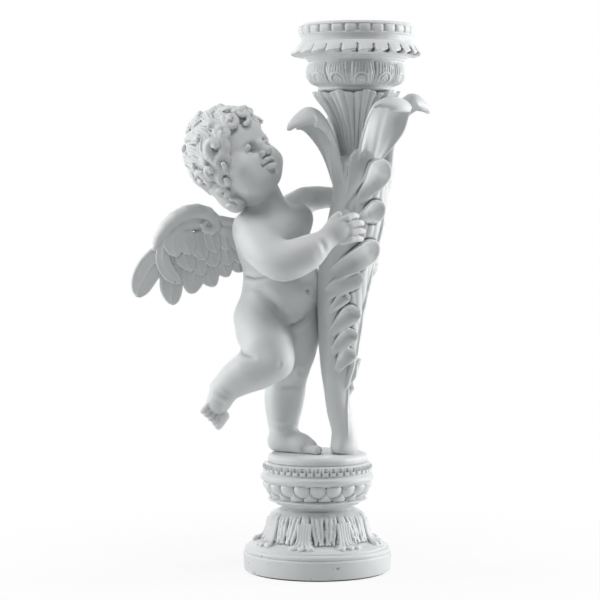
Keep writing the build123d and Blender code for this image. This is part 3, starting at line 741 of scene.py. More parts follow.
def makeCupCrown():
    p = cup
    j, t = p["joint"], p["top"]
    piece = turnedPiece("cup_crown_cast", [
        (4.3, j, 0), (p["bowlRadius"] - 2.8, j, 0), (p["bowlRadius"] - 1.0, j + 0.6, 0.4),
        (p["bowlRadius"] - 0.6, j + 2.0, 0.7), (46.4, j + 2.8, 0.4), (47.2, j + 4.2, 0.8),
        (49.6, j + 4.8, 0.6),
        (p["flange"] - 0.8, j + 6.4, 0.5), (p["flange"], j + 7.6, 0.6), (p["flange"] - 2.2, j + 10.5, 2),
        (54.6, j + 13.5, 2), (52.4, j + 16.2, 0.6), (51.0, j + 16.6, 0.5), (50.2, j + 19.2, 2),
        (50.9, j + 22.6, 1.2),
        (52.0, j + 23.6, 0.5), (51.2, j + 24.4, 0.3), (52.0, j + 27.6, 2.5), (51.2, j + 31.0, 0.3),
        (52.2, j + 31.6, 0.5),
        (51.4, j + 33.0, 0.8), (49.6, t, 0.6), (p["recess"] + 0.2, t, 0.8), (p["recess"], t - 2, 0),
        (p["recess"], p["floor"], 0), (9.5, p["floor"], 0), (9.5, p["floor"] - 9.1, 0),
        (4.3, p["floor"] - 9.1, 0),
    ], 0.7, 336)
    r, angle, z = aroundAxis(piece)
    extra, lift = np.zeros(len(r)), np.zeros(len(r))
    # leaves of the flange: each lower edge climbs to the right and tucks behind the next
    turn = angle / (2 * math.pi) * p["leaves"]
    f = turn - np.floor(turn)
    down = ramp(j + 16.0 - z, 0, 9.5) * ramp(r, 48.5, 53) * (z > j + 5.6)
    lift += down * (2.6 * f - 1.0)
    extra += down * (1.2 - 3.4 * f ** 1.5)
    notch = bell(np.minimum(f, 1 - f), 0, 0.055) * down
    extra -= 3.4 * notch
    lift += 1.6 * notch
    vein = bell(f, 0.45, 0.07) * down
    extra += 0.5 * vein
    # eggs between the two fillets of the rim
    f = np.abs(share(angle, p["eggs"]))
    inBand = ramp(z, j + 24.0, j + 25.0) * ramp(j + 31.2 - z, 0, 1.0) * (r > 49)
    egg = 1.0 * np.sqrt(np.clip(1 - (f / 0.84) ** 4, 0, 1)) - 0.9 * bell(f, 1.0, 0.16) + 0.5 * bell(f,
            1.0, 0.05)
    extra += inBand * (egg - 0.2)
    pushOut(piece, r, angle, z, extra, lift, p["axis"])
    return piece


finishCast(makeCupBowl(), castPlain, "cup_bowl")
finishCast(makeCupCrown(), castPlain, "cup_crown")
print("cup done")

# cherub
slabTop = slab["high"]
cherub = dict(turn=50, step=1.15, creaseWidth=1.6)
facing = np.array([math.sin(math.radians(cherub["turn"])), -math.cos(math.radians(cherub["turn"])), 0])
leftward = np.array([math.cos(math.radians(cherub["turn"])), math.sin(math.radians(cherub["turn"])), 0])
upward = np.array([0.0, 0, 1])
chest = np.array([-44.0, 10, 193 + slabTop])


def makeBody():
    clay = Clay((-116, -68, 0), (54, 62, 262), cherub["step"])
    body = (facing, leftward, upward)
    # pelvis, belly, ribs and back
    clay.ball((-41, 10, 129), (28, 37, 23), 0, axes=body)
    clay.ball((-57, 0, 123), (20, 20, 20), 8)
    clay.ball((-32, 28, 124), (20, 20, 20), 8)
    clay.ball((-36, 6, 153), (31, 35, 27), 12, axes=body)
    clay.ball((-24, -2, 149), (25, 27, 23), 10, axes=body)
    clay.ball((-44, 10, 190), (26, 36, 31), 13, axes=body)
    clay.ball((-33, -8, 199), (12, 14, 11), 12)
    clay.ball((-20, 8, 201), (11, 14, 11), 9)
    clay.ball((-33, 2, 207), (20, 20, 17), 12)
    clay.ball((-15, 12, 216), (11.5, 13, 12), 12)
    clay.ball((-40, -14, 199), (16, 15, 15), 10)
    clay.ball((-18, 12, 120), (20, 19, 24), 9)
    clay.chain([(-46, 8, 212, 20), (-48, 6, 226, 17), (-52, 4, 240, 17)], 9)
    # right arm, on the near side
    clay.chain([(-61, -6, 206, 17.5), (-55, -20, 197, 16.8), (-48, -32, 187, 15.8), (-40, -40, 180, 15.2),
                (-31, -44, 176, 15)], 9)
    clay.chain([(-31, -44, 176, 15), (-20, -45.5, 179.5, 14.8), (-8, -46, 185.5, 13.4),
                (4, -44.5, 194, 10.8)], 9)
    clay.ball((14, -43.5, 203), (12.5, 6.2, 11), 5, axes=((0.72, 0.05, 0.69), (0, -1, 0.07),
                                                          (-0.69, 0, 0.72)))
    clay.ball((20, -43, 206), (9, 5.2, 10.5), 3, axes=((0.94, 0.1, 0.34), (0, -1, 0.1), (-0.34, 0, 0.94)))
    for x0, z0, x1, z1 in ((21, 213.4, 34.5, 218.2), (23, 207.4, 39, 211.8), (24, 201.2, 40, 204.6),
                           (24, 195.4, 38.5, 197.6)):
        rise = 0.5 * (z1 - z0)
        clay.chain([(x0 - 3, -43.5, z0 - 0.8, 3.3), (0.5 * (x0 + x1) - 1, -43.0, z0 + rise + 0.6, 3.3),
                    (x1 - 3, -40.2, z1, 3.0), (x1 + 0.5, -37.4, z1 - 0.6, 2.7)], 0.35)
    clay.chain([(10, -41, 208, 5), (14.5, -40, 215, 4.2), (18.5, -38.6, 219, 3.6)], 1.5)
    # left arm, beyond
    clay.chain([(-30, 24, 214, 17), (-22, 32, 224, 14.5), (-12, 38, 232, 12), (0, 40, 234.5, 10.2),
                (11, 38, 235, 10.0)], 5)
    clay.ball((21, 33, 234), (12, 5.5, 11), 4, axes=((0.86, -0.5, 0), (0.5, 0.86, 0), upward))
    for k in range(4):
        z0 = 227 + 5.6 * k
        clay.chain([(26, 31, z0, 3.7), (35, 27.5, z0 + 1, 3.5), (44, 24.5, z0 + 1.5, 3.2)], 0.7)
    # left leg, which stands
    clay.chain([(-26, 12, 130, 25), (-24, 12, 110, 25.5), (-25, 10.5, 92, 22), (-27, 8.5, 77, 18.5)], 7)
    clay.chain([(-27, 8.5, 77, 18.5), (-28.5, 8, 66, 17.2), (-30, 8.5, 54, 17.8), (-31, 7.5, 42, 16.6),
                (-31.5, 6, 29, 13.6), (-31.5, 5, 21, 12.6)], 5)
    clay.ball((-25, -5, 77), (10, 9, 9), 7)
    clay.chain([(-37, 9, 9.0, 10), (-27, 4, 10, 10.5), (-16, -2.5, 8, 9.8), (-8, -6.5, 5.2, 8.2)], 5)
    for k, (x, y, size) in enumerate(((-1.5, -14.5, 4.4), (0.4, -8.6, 3.7), (0.2, -3.6, 3.4),
                                      (-1.2, 0.8, 3.2), (-3.4, 4.6, 2.9))):
        clay.chain([(x - 8, y + 3.5, 4.6, 0.9 * size), (x + 0.6, y - 0.4, size - 0.4, size)], 0.45)
    # right leg, lifted, with the calf folded back and the foot hanging
    clay.chain([(-49, 1, 127, 22), (-49.5, -14, 112, 23.5), (-45, -26, 99, 21.5), (-39, -33, 90, 18)], 7)
    clay.ball((-40, -35, 86), (17.5, 15.5, 16.5), 5)
    clay.chain([(-40, -34, 85, 15.5), (-52, -32.5, 80, 17.5), (-63, -31, 77, 18), (-74, -28.5, 70, 15.5),
                (-84, -26, 62, 12.5)], 5)
    clay.ball((-87.5, -21.5, 63), (9.5, 10, 10), 5)
    clay.chain([(-86, -27, 57, 11.5), (-88.5, -30, 51, 10.5), (-90.5, -32, 46, 8.0)], 5)
    clay.ball((-92.0, -33, 46.8), (10.8, 6.6, 5.6), 3, axes=((0.68, 0.0, -0.73), (0, 1, 0),
                                                             (0.73, 0, 0.68)))
    for k, size in enumerate((2.7, 2.6, 2.7, 2.9, 3.7)):
        x, z = -101.0 + 3.5 * k, 45.4 - 3.3 * k
        clay.chain([(x + 4, -34.5, z + 5.0, size), (x - 1.6, -36, z - 2.6, size),
                    (x - 2.8, -37, z - 3.8, size)], 0.2)
    # the right side leans on the horn
    clay.ball((-10.5, 4, 160), (13, 14, 17), 8)
    # feet end flat on the slab
    cuts, (x, y, z) = clay.block((-120, -70, -5), (60, 60, 6))
    clay.merge(cuts, z + 0.0, 0, True)
    points, faces = clay.skin()
    points[:, 2] += slabTop
    piece = pieceFrom("cherub_body", points, faces)
    applyModifier(piece, "SMOOTH", factor=0.6, iterations=2)
    # the limbs and trunk are rubbed smoother than the fingers and toes
    points = pointsOf(piece)
    soft = relaxed(points, edgesOf(piece), 14)
    fine = np.zeros(len(points))
    for x, y, z, reach in ((29, -41, 206, 17), (-95, -35, 36, 14), (-2, -6, 3, 14), (36, 28, 234, 16)):
        far = np.linalg.norm(points - np.array([x, y, z + slabTop]), axis=1)
        fine = np.maximum(fine, 1 - ramp(far, reach, reach + 7))
    movePoints(piece, soft + (points - soft) * fine[:, None])
    return piece


def crease(points, normals, path, width, depth, bank=0.45, side=-1, near=None):
    # a fold pressed in along a path of (x, height above the slab), on the side that faces -Y or +Y
    best = np.full(len(points), 1e9)
    taper = np.ones(len(points))
    x, z = points[:, 0], points[:, 2] - slabTop
    count = len(path) - 1
    for i in range(count):
        ax, az = path[i]
        dx, dz = path[i + 1][0] - ax, path[i + 1][1] - az
        t = np.clip(((x - ax) * dx + (z - az) * dz) / (dx * dx + dz * dz), 0, 1)
        far = np.hypot(x - ax - t * dx, z - az - t * dz)
        closer = far < best
        along = (i + t) / count
        taper = np.where(closer, np.sin(math.pi * np.clip(0.08 + 0.84 * along, 0, 1)) ** 0.7, taper)
        best = np.minimum(best, far)
    mask = ramp(side * normals[:, 1], 0.0, 0.35) * taper
    if near is not None:
        mask = mask * ((points[:, 1] > near[0]) & (points[:, 1] < near[1]))
    press = -depth * np.exp(-(best / width) ** 2) + bank * depth * np.exp(-((best
            - 2.1 * width) / width) ** 2)
    return points + normals * (press * mask)[:, None]


def shapeBody(piece):
    points, normals = pointsOf(piece), normalsOf(piece)
    w = cherub["creaseWidth"]
    near = (-80, -20)
    folds = [
        # path, width, depth, range of y
        ([(-70, 163.5), (-58, 161.0), (-44, 162.5)], 1.2 * w, 1.3, None),  # under the ribs
        ([(-66, 153), (-58, 150.8), (-50, 149)], 1.5 * w, 0.8, None),
        ([(-50, 149), (-40, 138), (-31, 126), (-27, 117)], 2.4 * w, 1.4, None),  # groin, near
        ([(-26.5, 117.5), (-19, 119.5), (-12, 124), (-3, 136)], 1.8 * w, 1.5, None),  # under the belly
        ([(-73, 97), (-67, 94), (-58, 91)], 1.4 * w, 1.5, near),  # behind the near knee
        ([(-36, 62), (-26, 61.0), (-16, 62)], 1.3 * w, 0.7, (-60, 10)),  # under the standing knee
        ([(-42, 25), (-32, 23), (-20, 26)], 1.3 * w, 0.8, (-60, 10)),  # ankle
        ([(2, 196), (5, 191), (7, 185)], 1.2 * w, 0.6, near),  # wrist
        ([(-92, 59), (-86, 55), (-80, 52)], 1.2 * w, 0.8, near),  # ankle of the lifted foot
        ([(-34, 88), (-33, 85), (-34.5, 82)], 0.8 * w, 0.7, near),  # dimple of the near knee
    ]
    for path, width, depth, span in folds:
        points = crease(points, normals, path, width, depth, near=span)
    # folds that only the far side shows
    for path, width, depth in (
        ([(-47, 140), (-46, 125), (-45, 108)], 2.2 * w, 4.0),  # between the buttocks
        ([(-45, 205), (-44, 190), (-44, 170)], 3 * w, 1.6),  # spine
        ([(-74, 108), (-62, 102), (-50, 104)], 1.5 * w, 1.8),
        ([(-40, 104), (-28, 101), (-12, 106)], 1.5 * w, 1.8),
        ([(-40, 76), (-28, 73), (-14, 76)], 1.2 * w, 1.6),
    ):
        points = crease(points, normals, path, width, depth, side=1, near=(-10, 60))
    # navel, knee dimples
    for x, z, size, depth, span in ((-8.2, 149.7, 2.0, 1.5, (-60, 20)), (-15.5, 74, 2.6, 0.9, (-60, 10)),
                                    (-23, 72, 2.4, 0.6, (-60, 10))):
        far = np.hypot(points[:, 0] - x, points[:, 2] - slabTop - z)
        mask = (normals[:, 1] < 0.2) & (points[:, 1] > span[0]) & (points[:, 1] < span[1])
        press = -depth * np.exp(-(far / size) ** 2) + 0.3 * depth * np.exp(-((far
                - 2.2 * size) / size) ** 2)
        points = points + normals * (press * mask)[:, None]
    movePoints(piece, points)


body = makeBody()
shapeBody(body)
finishCast(body, castPlain,
           "torso", "standing_leg", "raised_leg", "right_arm", "left_arm", smooth=80)

# the head is modelled upright, with +X forward and +Y to its left, and then set on the neck
headLow, headHigh = boxOf("head")
head = dict(place=(headLow + headHigh) / 2 + (-0.75, -3.6, -3.0), yaw=50, pitch=25, roll=12, step=0.68)


def headAxes():
    yaw, pitch, roll = (math.radians(head[k]) for k in ("yaw", "pitch", "roll"))
    ahead = np.array([math.sin(yaw), -math.cos(yaw), 0])
    left = np.array([math.cos(yaw), math.sin(yaw), 0])
    forward = ahead * math.cos(pitch) + upward * math.sin(pitch)
    up = upward * math.cos(pitch) - ahead * math.sin(pitch)
    return np.array([forward, left * math.cos(roll) + up * math.sin(roll),
                     up * math.cos(roll) - left * math.sin(roll)])


def setOnNeck(points):
    return points @ headAxes() + head["place"]


def makeHead():
    clay = Clay((-48, -46, -60), (52, 46, 52), head["step"])
    clay.ball((2, 0, 8), (35, 35.5, 35.5))
    clay.ball((8, 0, -10), (28, 31, 30), 10)
    clay.ball((14, 0, 11), (24, 28, 22), 8)
    clay.chain([(-2, 2, -22, 17), (1, 12, -38, 15.5), (2, 21, -52, 15)], 8)
    clay.ball((18, 0, -33), (16, 17, 9.5), 7)
    clay.ball((30.5, 0, -28.5), (8, 9, 7), 5)
    clay.ball((28.5, 0, -18), (10.5, 11.5, 10), 5)
    for side in (-1, 1):
        clay.ball((22.4, side * 18.5, -16.5), (15.5, 15.5, 14.5), 9)
        clay.ball((20, side * 13, -28), (13, 12, 10), 8)
        clay.limb((34.5, side * 5, 2.5), (29.5, side * 18, 3.0), 3.6, 3.2, 6)
        clay.ball((38.2, side * 12.6, -3.9), (6.6, 7.2, 5.2), 3.6, True)
        clay.ball((38.0, side * 8.4, -3.2), (8.0, 4.4, 5.4), 2.2, True)
        clay.ball((27.2, side * 14.6, -5.0), (6.9, 6.6, 6.0), 1.4)
    clay.chain([(35.0, 0, 4, 4.2), (38.6, 0, -3, 3.6), (41.2, 0, -9.4, 4.0)], 4)
    clay.ball((43.4, 0, -10.4), (4.4, 4.8, 3.9), 2.2)
    for side in (-1, 1):
        clay.ball((40.2, side * 5.4, -11.6), (3.4, 2.8, 2.9), 1.5)
        clay.ball((42.0, side * 3.0, -14.0), (2.4, 1.8, 1.9), 0.5, True)
        # heavy lids, looking up from under the brow
        clay.chain([(33.2, side * 9.0, -0.6, 1.0), (34.6, side * 11.4, -0.4, 1.6),
                    (35.2, side * 13.4, -1.2, 2.2),
                    (32.8, side * 16.8, -2.4, 2.0), (29.8, side * 19.6, -5.4, 1.4)], 1.2)
        clay.chain([(34.2, side * 8.8, -8.6, 1.2), (34.8, side * 11.4, -9.0, 1.5),
                    (34.4, side * 14, -8.2, 1.5),
                    (31.6, side * 17.6, -6.8, 1.2)], 1.3)
        # lips, with the mouth a little open between them
        clay.chain([(41.4, side * 0.8, -18.2, 2.5), (40.2, side * 3.6, -18.0, 2.4),
                    (37.0, side * 7.4, -20.6, 1.5)], 0.9)
        clay.chain([(40.6, 0, -25.0, 3.4), (39.6, side * 3.0, -24.6, 2.9),
                    (36.8, side * 6.6, -22.2, 1.5)], 0.9)
        clay.chain([(43.2, 0, -21.3, 1.9), (41.2, side * 3.0, -21.2, 1.6),
                    (37.8, side * 6.2, -21.6, 1.0)], 0.4, True)
        clay.ball((36.6, side * 8.8, -21.6), (1.7, 1.6, 1.8), 1.6, True)
    clay.limb((42.2, 0, -14.4), (41.4, 0, -16.0), 0.8, 0.7, 1.0, True)
    clay.limb((39.0, -3, -28.6), (39.0, 3, -28.6), 1.6, 1.6, 2.0, True)
    points, faces = clay.skin()
    piece = pieceFrom("cherub_head", setOnNeck(points), faces)
    applyModifier(piece, "SMOOTH", factor=0.5, iterations=2)
    return piece


hair = dict(middle=(1.5, 1.0, 10.0), core=37.2, reach=41.4, locks=104, steps=13, stride=3.1, step=0.76,
            seed=12,
            crown=(-0.66, 0.15, 0.74), faceWay=(0.90, 0, -0.43), faceAngle=57, strand=1.45, half=5.4)


def strandsAlong(clay, places, ways, widths, radius):
    # five strands side by side, proud in the middle of the lock
    sides = np.cross(ways, np.gradient(places, axis=0))
    sides /= np.linalg.norm(sides, axis=1)[:, None]
    taper = 1 - 0.35 * np.linspace(0, 1, len(places))
    for k in range(-2, 3):
        path = places + sides * (k / 2 * widths)[:, None] - ways * (0.10 * k * k * widths)[:, None]
        clay.chain([(*spot, size) for spot, size in zip(path, radius * (1.15 - 0.1 * abs(k)) * taper)], 0.4)
    clay.chain([(*(spot - (0.55 * width + 0.3) * way), 0.55 * width + 0.6) for spot, way,
                width in zip(places, ways, widths)], 0.6)


def lockOfHair(clay, way, hand, hook, lift, width):
    # a lock that lies along the flow of the hair and hooks at its end
    p = hair
    middle, crown, faceWay = (np.array(p[k]) for k in ("middle", "crown", "faceWay"))
    limit = math.cos(math.radians(p["faceAngle"] + 4))
    places, ways = [], []
    for i in range(p["steps"] + 1):
        t = i / p["steps"]
        ways.append(way)
        places.append(middle + way * (p["reach"] - 3.6 + lift * math.sin(0.5 * math.pi * t)
                                      + 0.9 * math.sin(7 * t)))
        heading = way - crown
        heading -= (heading @ way) * way
        heading /= np.linalg.norm(heading)
        bend = 0.40 * math.sin(3.3 * way[1] + 2.1 * way[2] + 0.7) + 0.25 * math.sin(5.1 * way[0]
                - 2 * way[1] + 2)
        bend += hand * (0.55 * math.sin(5.2 * t) + hook * t ** 3.5)
        heading = heading * math.cos(bend) + np.cross(way, heading) * math.sin(bend)
        if way @ faceWay > limit:
            # hair beside the face runs along it
            toFace = faceWay - (faceWay @ way) * way
            toFace /= np.linalg.norm(toFace)
            heading -= max(0, heading @ toFace + 0.25) * toFace
            heading /= np.linalg.norm(heading)
        way = way + heading * p["stride"] * (1 - 0.45 * t) / p["reach"]
        way /= np.linalg.norm(way)
    t = np.linspace(0, 1, len(places))
    widths = width * (0.35 + 0.65 * np.sin(math.pi * np.minimum(1, 0.18 + 0.74 * t)))
    strandsAlong(clay, np.array(places), np.array(ways), widths, p["strand"])


def curlOfHair(clay, centre, size, turns, hand, first, tall):
    # a lock that coils about a place on the skull and stands up towards its eye
    p = hair
    middle = np.array(p["middle"])
    way = np.array(centre, float) - middle
    far = np.linalg.norm(way)
    way /= far
    across = np.cross(way, (0.3, 0.2, 1.0))
    across /= np.linalg.norm(across)
    along = np.cross(way, across)
    steps = round(13 * turns)
    t = np.linspace(0, 1, steps + 1)
    turn = first + hand * t * turns * 2 * math.pi
    spot = size * (1.10 - 0.92 * t ** 0.8)
    ways = way * far + spot[:, None] * (0.86 * np.cos(turn)[:, None] * across
                                        + 1.12 * np.sin(turn)[:, None] * along)
    ways /= np.linalg.norm(ways, axis=1)[:, None]
    places = middle + ways * (far - 1.5 + tall * t ** 0.7)[:, None]
    strandsAlong(clay, places, ways, size * (0.34 - 0.15 * t) * np.minimum(1, 0.4 + 3 * t), 0.105 * size)


curls = [
    # place on the head, size, turns, height: the fringe first, then down both temples to the nape
    (39, -4, 29, 9.0, 1.25, 5.0), (35, 9, 33, 8.5, 1.25, 5.0), (28, 18, 35, 8.0, 1.25, 4.5),
    (35, -17, 28, 9.0, 1.25, 4.5),
    (29, -29, 19, 8.5, 1.25, 4.0), (19, -38, 11, 14.0, 1.2, 6.0), (18, -37, -6, 9.0, 1.25, 5.5),
    (6, -41, -6, 9.5, 1.25, 5.0),
    (11, -34, -18, 9.5, 1.25, 5.5), (-9, -38, -10, 9.5, 1.25, 4.5), (0, -29, -27, 9.5, 1.25, 4.5),
    (-12, -18, -31, 9.0, 1.25, 3.5),
    (-5, -20, -40, 9.0, 1.25, 3.0), (-14, -8, -38, 8.5, 1.25, 3.0),
    (6, 40, 22, 9.0, 1.25, 3.5), (2, 43, 3, 10.0, 1.25, 4.0), (12, 36, -16, 9.0, 1.25, 4.5),
    (0, 32, -26, 8.5, 1.25, 4.0),
    (-10, 18, -31, 8.5, 1.25, 4.0),
]


def makeHair():
    p = hair
    draw = random.Random(p["seed"])
    middle, faceWay = np.array(p["middle"]), np.array(p["faceWay"])
    clay = Clay((-54, -54, -58), (58, 56, 66), p["step"])
    clay.ball(middle, p["core"])
    clay.chain([(-8, -12, -18, 16), (-7, -12, -31, 12), (-6, -13, -39, 8)], 5)
    clay.ball((34, 0, -15), (26, 36, 35), 3, True)  # the face is left clear
    limit = math.cos(math.radians(p["faceAngle"] + 3))
    golden = math.pi * (3 - math.sqrt(5))
    for k in range(p["locks"]):
        up = 1 - 2 * (k + 0.5) / p["locks"]
        flat = math.sqrt(1 - up * up)
        way = np.array([flat * math.cos(golden * k), flat * math.sin(golden * k), up])
        way += np.array([draw.uniform(-0.06, 0.06) for _ in range(3)])
        way /= np.linalg.norm(way)
        hand, hook = draw.choice((-1, 1)), draw.uniform(1.4, 2.6)
        lift, width = draw.uniform(2.6, 6.2), p["half"] * draw.uniform(0.85, 1.2)
        if way @ faceWay > limit or way[2] < -0.86 or (way[2] < -0.7 and way[0] > -0.1):
            continue
        lockOfHair(clay, way, hand, hook, lift, width)
    for x, y, z, size, turns, tall in curls:
        curlOfHair(clay, (x, y, z), size, turns, draw.choice((-1, 1)), draw.uniform(0, 6.3), tall)
    points, faces = clay.skin()
    piece = pieceFrom("cherub_hair", setOnNeck(points), faces)
    applyModifier(piece, "SMOOTH", factor=0.5, iterations=1)
    return piece


finishCast(makeHead(), castPlain, "head", smooth=80)
finishCast(makeHair(), castPlain, smooth=80)
print("head done")

# wings, drawn flat as (distance out, height from the root) and layered from the primaries up
wingLow, wingHigh = boxOf("right_wing")
wing = dict(root=(wingHigh[0] - 5.6, wingHigh[1] - 4.8, (wingLow[2] + wingHigh[2]) / 2),
            out=(-0.976, -0.217, 0.0), step=0.8, thick=2.2)
feathers = [
    # root, tip, half width, level, sideways bow
    ((62, 12), (98, -36), 12.0, 0.0, 5), ((56, 10), (65, -44), 11.0, 0.7, 4),
    ((46, 8), (47, -34), 10.5, 1.3, -2),
    ((34, 8), (27, -28), 10.5, 0.5, 2), ((20, 8), (14, -19), 9.0, 1.1, 1), ((6, 8), (2, -15), 9.0, 0.6, 0),
    ((73, 15), (58, -25), 7.0, 3.0, 7), ((54, 14), (47, -13), 9.0, 2.6, 3),
    ((42, 14), (37, -17), 8.0, 2.0, 2),
    ((30, 14), (26, -9), 9.0, 2.8, 1), ((17, 14), (12, -8), 8.5, 2.2, 0), ((4, 14), (1, -6), 8.0, 2.6, 0),
    ((64, 22), (61, 0), 8.5, 4.6, 2), ((54, 23), (49, 2), 9.0, 5.4, 1), ((43, 23), (36, -3), 8.5, 4.8, 1),
    ((31, 24), (25, 4), 7.5, 6.0, 0), ((18, 24), (14, 6), 7.5, 5.4, 0), ((6, 24), (4, 5), 7.0, 5.9, 0),
]


def featherBlade(clay, root, tip, half, level, bow, thick):
    a, b = np.array(root, float), np.array(tip, float)
    length = np.linalg.norm(b - a)
    way = (b - a) / length
    side = np.array([-way[1], way[0]])
    low, high = np.minimum(a, b) - half - abs(bow) - 2, np.maximum(a, b) + half + abs(bow) + 2
    for face in (1, -1):
        cuts, (s, t, n) = clay.block((*low, face * level - 7), (*high, face * level + 7))
        along = (s - a[0]) * way[0] + (t - a[1]) * way[1]
        part = np.clip(along / length, 0, 1)
        lateral = (s - a[0]) * side[0] + (t - a[1]) * side[1] - bow * np.sin(math.pi * part)
        tipCap = np.clip((along - (length - 1.5 * half)) / (1.5 * half), 0, 1)
        width = half * (0.8 + 0.2 * np.sin(math.pi * part)) * np.sqrt(np.clip(1 - tipCap ** 2.2, 0.0,
                1)) + 0.05
        flat = np.maximum(np.abs(lateral) - width, np.maximum(-along, along - length) * 0.9)
        ratio = np.clip(np.abs(lateral) / (width + 0.1), 0, 1)
        crown = thick * (1.0 - 0.55 * ratio ** 2) + 0.75 * np.exp(-(lateral / 0.9) ** 2)
        crown = crown - 0.32 * np.abs(np.sin((along * 0.8 + np.abs(lateral) * 1.1) * math.pi / 3.0))
        crown = crown + 0.7 * np.exp(-((ratio - 0.86) / 0.12) ** 2)
        slab = np.abs(n - face * (level + 1.5 * part ** 2)) - crown
        clay.merge(cuts, np.maximum(flat, slab) + 0.25 * np.clip(1 - np.abs(flat - slab), 0, 1), 0.25,
                   False)


def makeWing(name, mirrored):
    p = wing
    clay = Clay((-10, -52, -14), (108, 58, 14), p["step"])
    for root, tip, half, level, bow in feathers:
        featherBlade(clay, root, tip, half, level, bow, p["thick"])
    # the arm of the wing under the coverts, and its rolled edge, which ends in a volute
    clay.chain([(-6, 16, 0, 9), (12, 24, 0, 8.5), (30, 31, 0, 8), (46, 33, 0, 8), (60, 26, 0, 7),
                (72, 16, 0, 5)], 3)
    for face in (1, -1):
        clay.chain([(-4, 28, 3 * face, 6.0), (10, 30.5, 3 * face, 5.6), (20, 32.5, 3.4 * face, 5.6)], 0.6)
        clay.chain([(80, 8, 1.2 * face, 3.0), (77, 17, 2.4 * face, 4.6), (70, 27, 3.6 * face, 6.0),
                    (61, 35.5, 4.4 * face, 6.8),
                    (51, 40.5, 4.8 * face, 7.0), (42, 42.0, 5.2 * face, 7.0), (33, 40.0, 5.8 * face, 6.4),
                    (26, 34.5, 6.4 * face, 5.4),
                    (24.6, 28, 7.0 * face, 4.6), (29, 24.0, 7.6 * face, 3.8), (35, 25.2, 8.0 * face, 3.2),
                    (37.4, 29.5, 8.4 * face, 2.6), (34.8, 32, 8.6 * face, 2.0)], 0.3)
        clay.chain([(27, 24.5, 4.6 * face, 2.6), (18, 24.5, 4.8 * face, 2.6), (6, 23, 4.6 * face, 2.6)],
                   0.4)
        for s0, t0, s1, t1 in ((88, -32, 75, -12), (64, -38, 62, -22), (95, -22, 88, -14),
                               (52, -22, 50, -14),
                               (30, -20, 31, -12), (14, -12, 15, -6), (22, -14, 21, -8), (6, -9, 6, -3)):
            clay.limb((s0, t0, 4.4 * face), (s1, t1, 5.6 * face), 1.0, 0.8, 0.4, True)
    points, faces = clay.skin()
    out = np.array(p["out"])
    thickWay = np.cross(out, upward)
    placed = np.array(p["root"]) + points[:, :1] * out + points[:, 1:2] * upward + points[:, 2:] * thickWay
    # a little wind: the tips sweep back
    placed += thickWay * (0.0016 * points[:, :1] ** 2) * 0.3
    if mirrored:
        placed = placed - 2 * ((placed - chest) @ leftward)[:, None] * leftward
    piece = pieceFrom(name, placed, faces)
    startEditing(piece)
    bpy.ops.mesh.normals_make_consistent(inside=False)
    stopEditing()
    applyModifier(piece, "SMOOTH", factor=0.5, iterations=1)
    return piece


finishCast(makeWing("wing_right_feathered", False), castPlain, "right_wing", smooth=70)
finishCast(makeWing("wing_left_feathered", True), castPlain, "left_wing", smooth=70)
print("wings done")

# horn: two long lobed leaves, one on each face, that lap a ribbed stem
horn = dict(y=axisOf("horn_stem")[1], foot=0.0, top=281.0, around=240, up=336, leafLift=2.2, rim=1.0,
            hollow=4.6)
hornLine = [
    # height above the slab, x of the middle, radius
    (0, 24.4, 11.0), (4, 24.4, 12.6), (9, 24.4, 12.2), (20, 24.0, 10.8), (36, 20.4, 11.4), (50, 18, 11.2),
    (65, 17.6, 12.0),
    (84, 20, 15.4), (100, 21.2, 18.0), (130, 22.8, 20.6), (157, 25.4, 23.6), (180, 28.8, 24.6),
    (203, 34.4, 25.6),
    (230, 39.0, 24.0), (249, 41, 24.2), (262, 41, 24.8), (281, 40, 24.5),
]
lobes = [
    # root x, height, radius, then tip x, height, radius: on the near face, lowest first
    (24, 54, 1.5, 34.6, 84, 4.8), (15, 74, 3.0, 27.0, 92, 7.2), (11, 90, 3.5, 28.0, 109, 7.6),
    (9, 106, 3.5, 29.5, 129, 8.6),
    (8, 126, 3.0, 24.0, 144, 5.4), (4, 142, 5.0, 30.0, 160.5, 10.0), (6, 158, 6.5, 45.4, 184.5, 12.2),
    (34, 214, 3, 50.5, 221, 11.2), (20.7, 222, 1.6, 40.0, 268.5, 10.6), (29, 222, 2.0, 56.0, 257.5, 12.4),
]


def hornAt(level):
    levels, middles, radii = (np.array(v, float) for v in zip(*hornLine))
    return np.interp(level, levels, middles), np.interp(level, levels, radii)


def hornArc(x, level):
    # arc from the left side of the horn round the near face to a point seen at x
    middle, radius = hornAt(level)
    return float(radius) * math.acos(max(-1, min(1, -(x - float(middle)) / (float(radius) + 1.5))))


def spoon(arc, level, root, tip):
    a, b = np.array(root[:2], float), np.array(tip[:2], float)
    way = b - a
    along = ((arc - a[0]) * way[0] + (level - a[1]) * way[1]) / (way @ way)
    t = np.clip(along, 0, 1)
    width = root[2] + (tip[2] - root[2]) * t
    far = np.hypot(arc - a[0] - t * way[0], level - a[1] - t * way[1]) - width
    grown = ramp(along, 0.0, 0.85)
    depth = np.clip(-far / width, 0, 1)  # 0 at the rim, 1 along the middle
    height = horn["leafLift"] + 2.4 * grown + horn["rim"] * grown * bell(far, -1.3, 1.5)
    height -= horn["hollow"] * (0.3
                                + 0.7 * grown) * np.sin(0.5 * math.pi * depth) ** 1.2 * np.clip(width / 9,
                                        0.3, 1)
    return far, height, grown


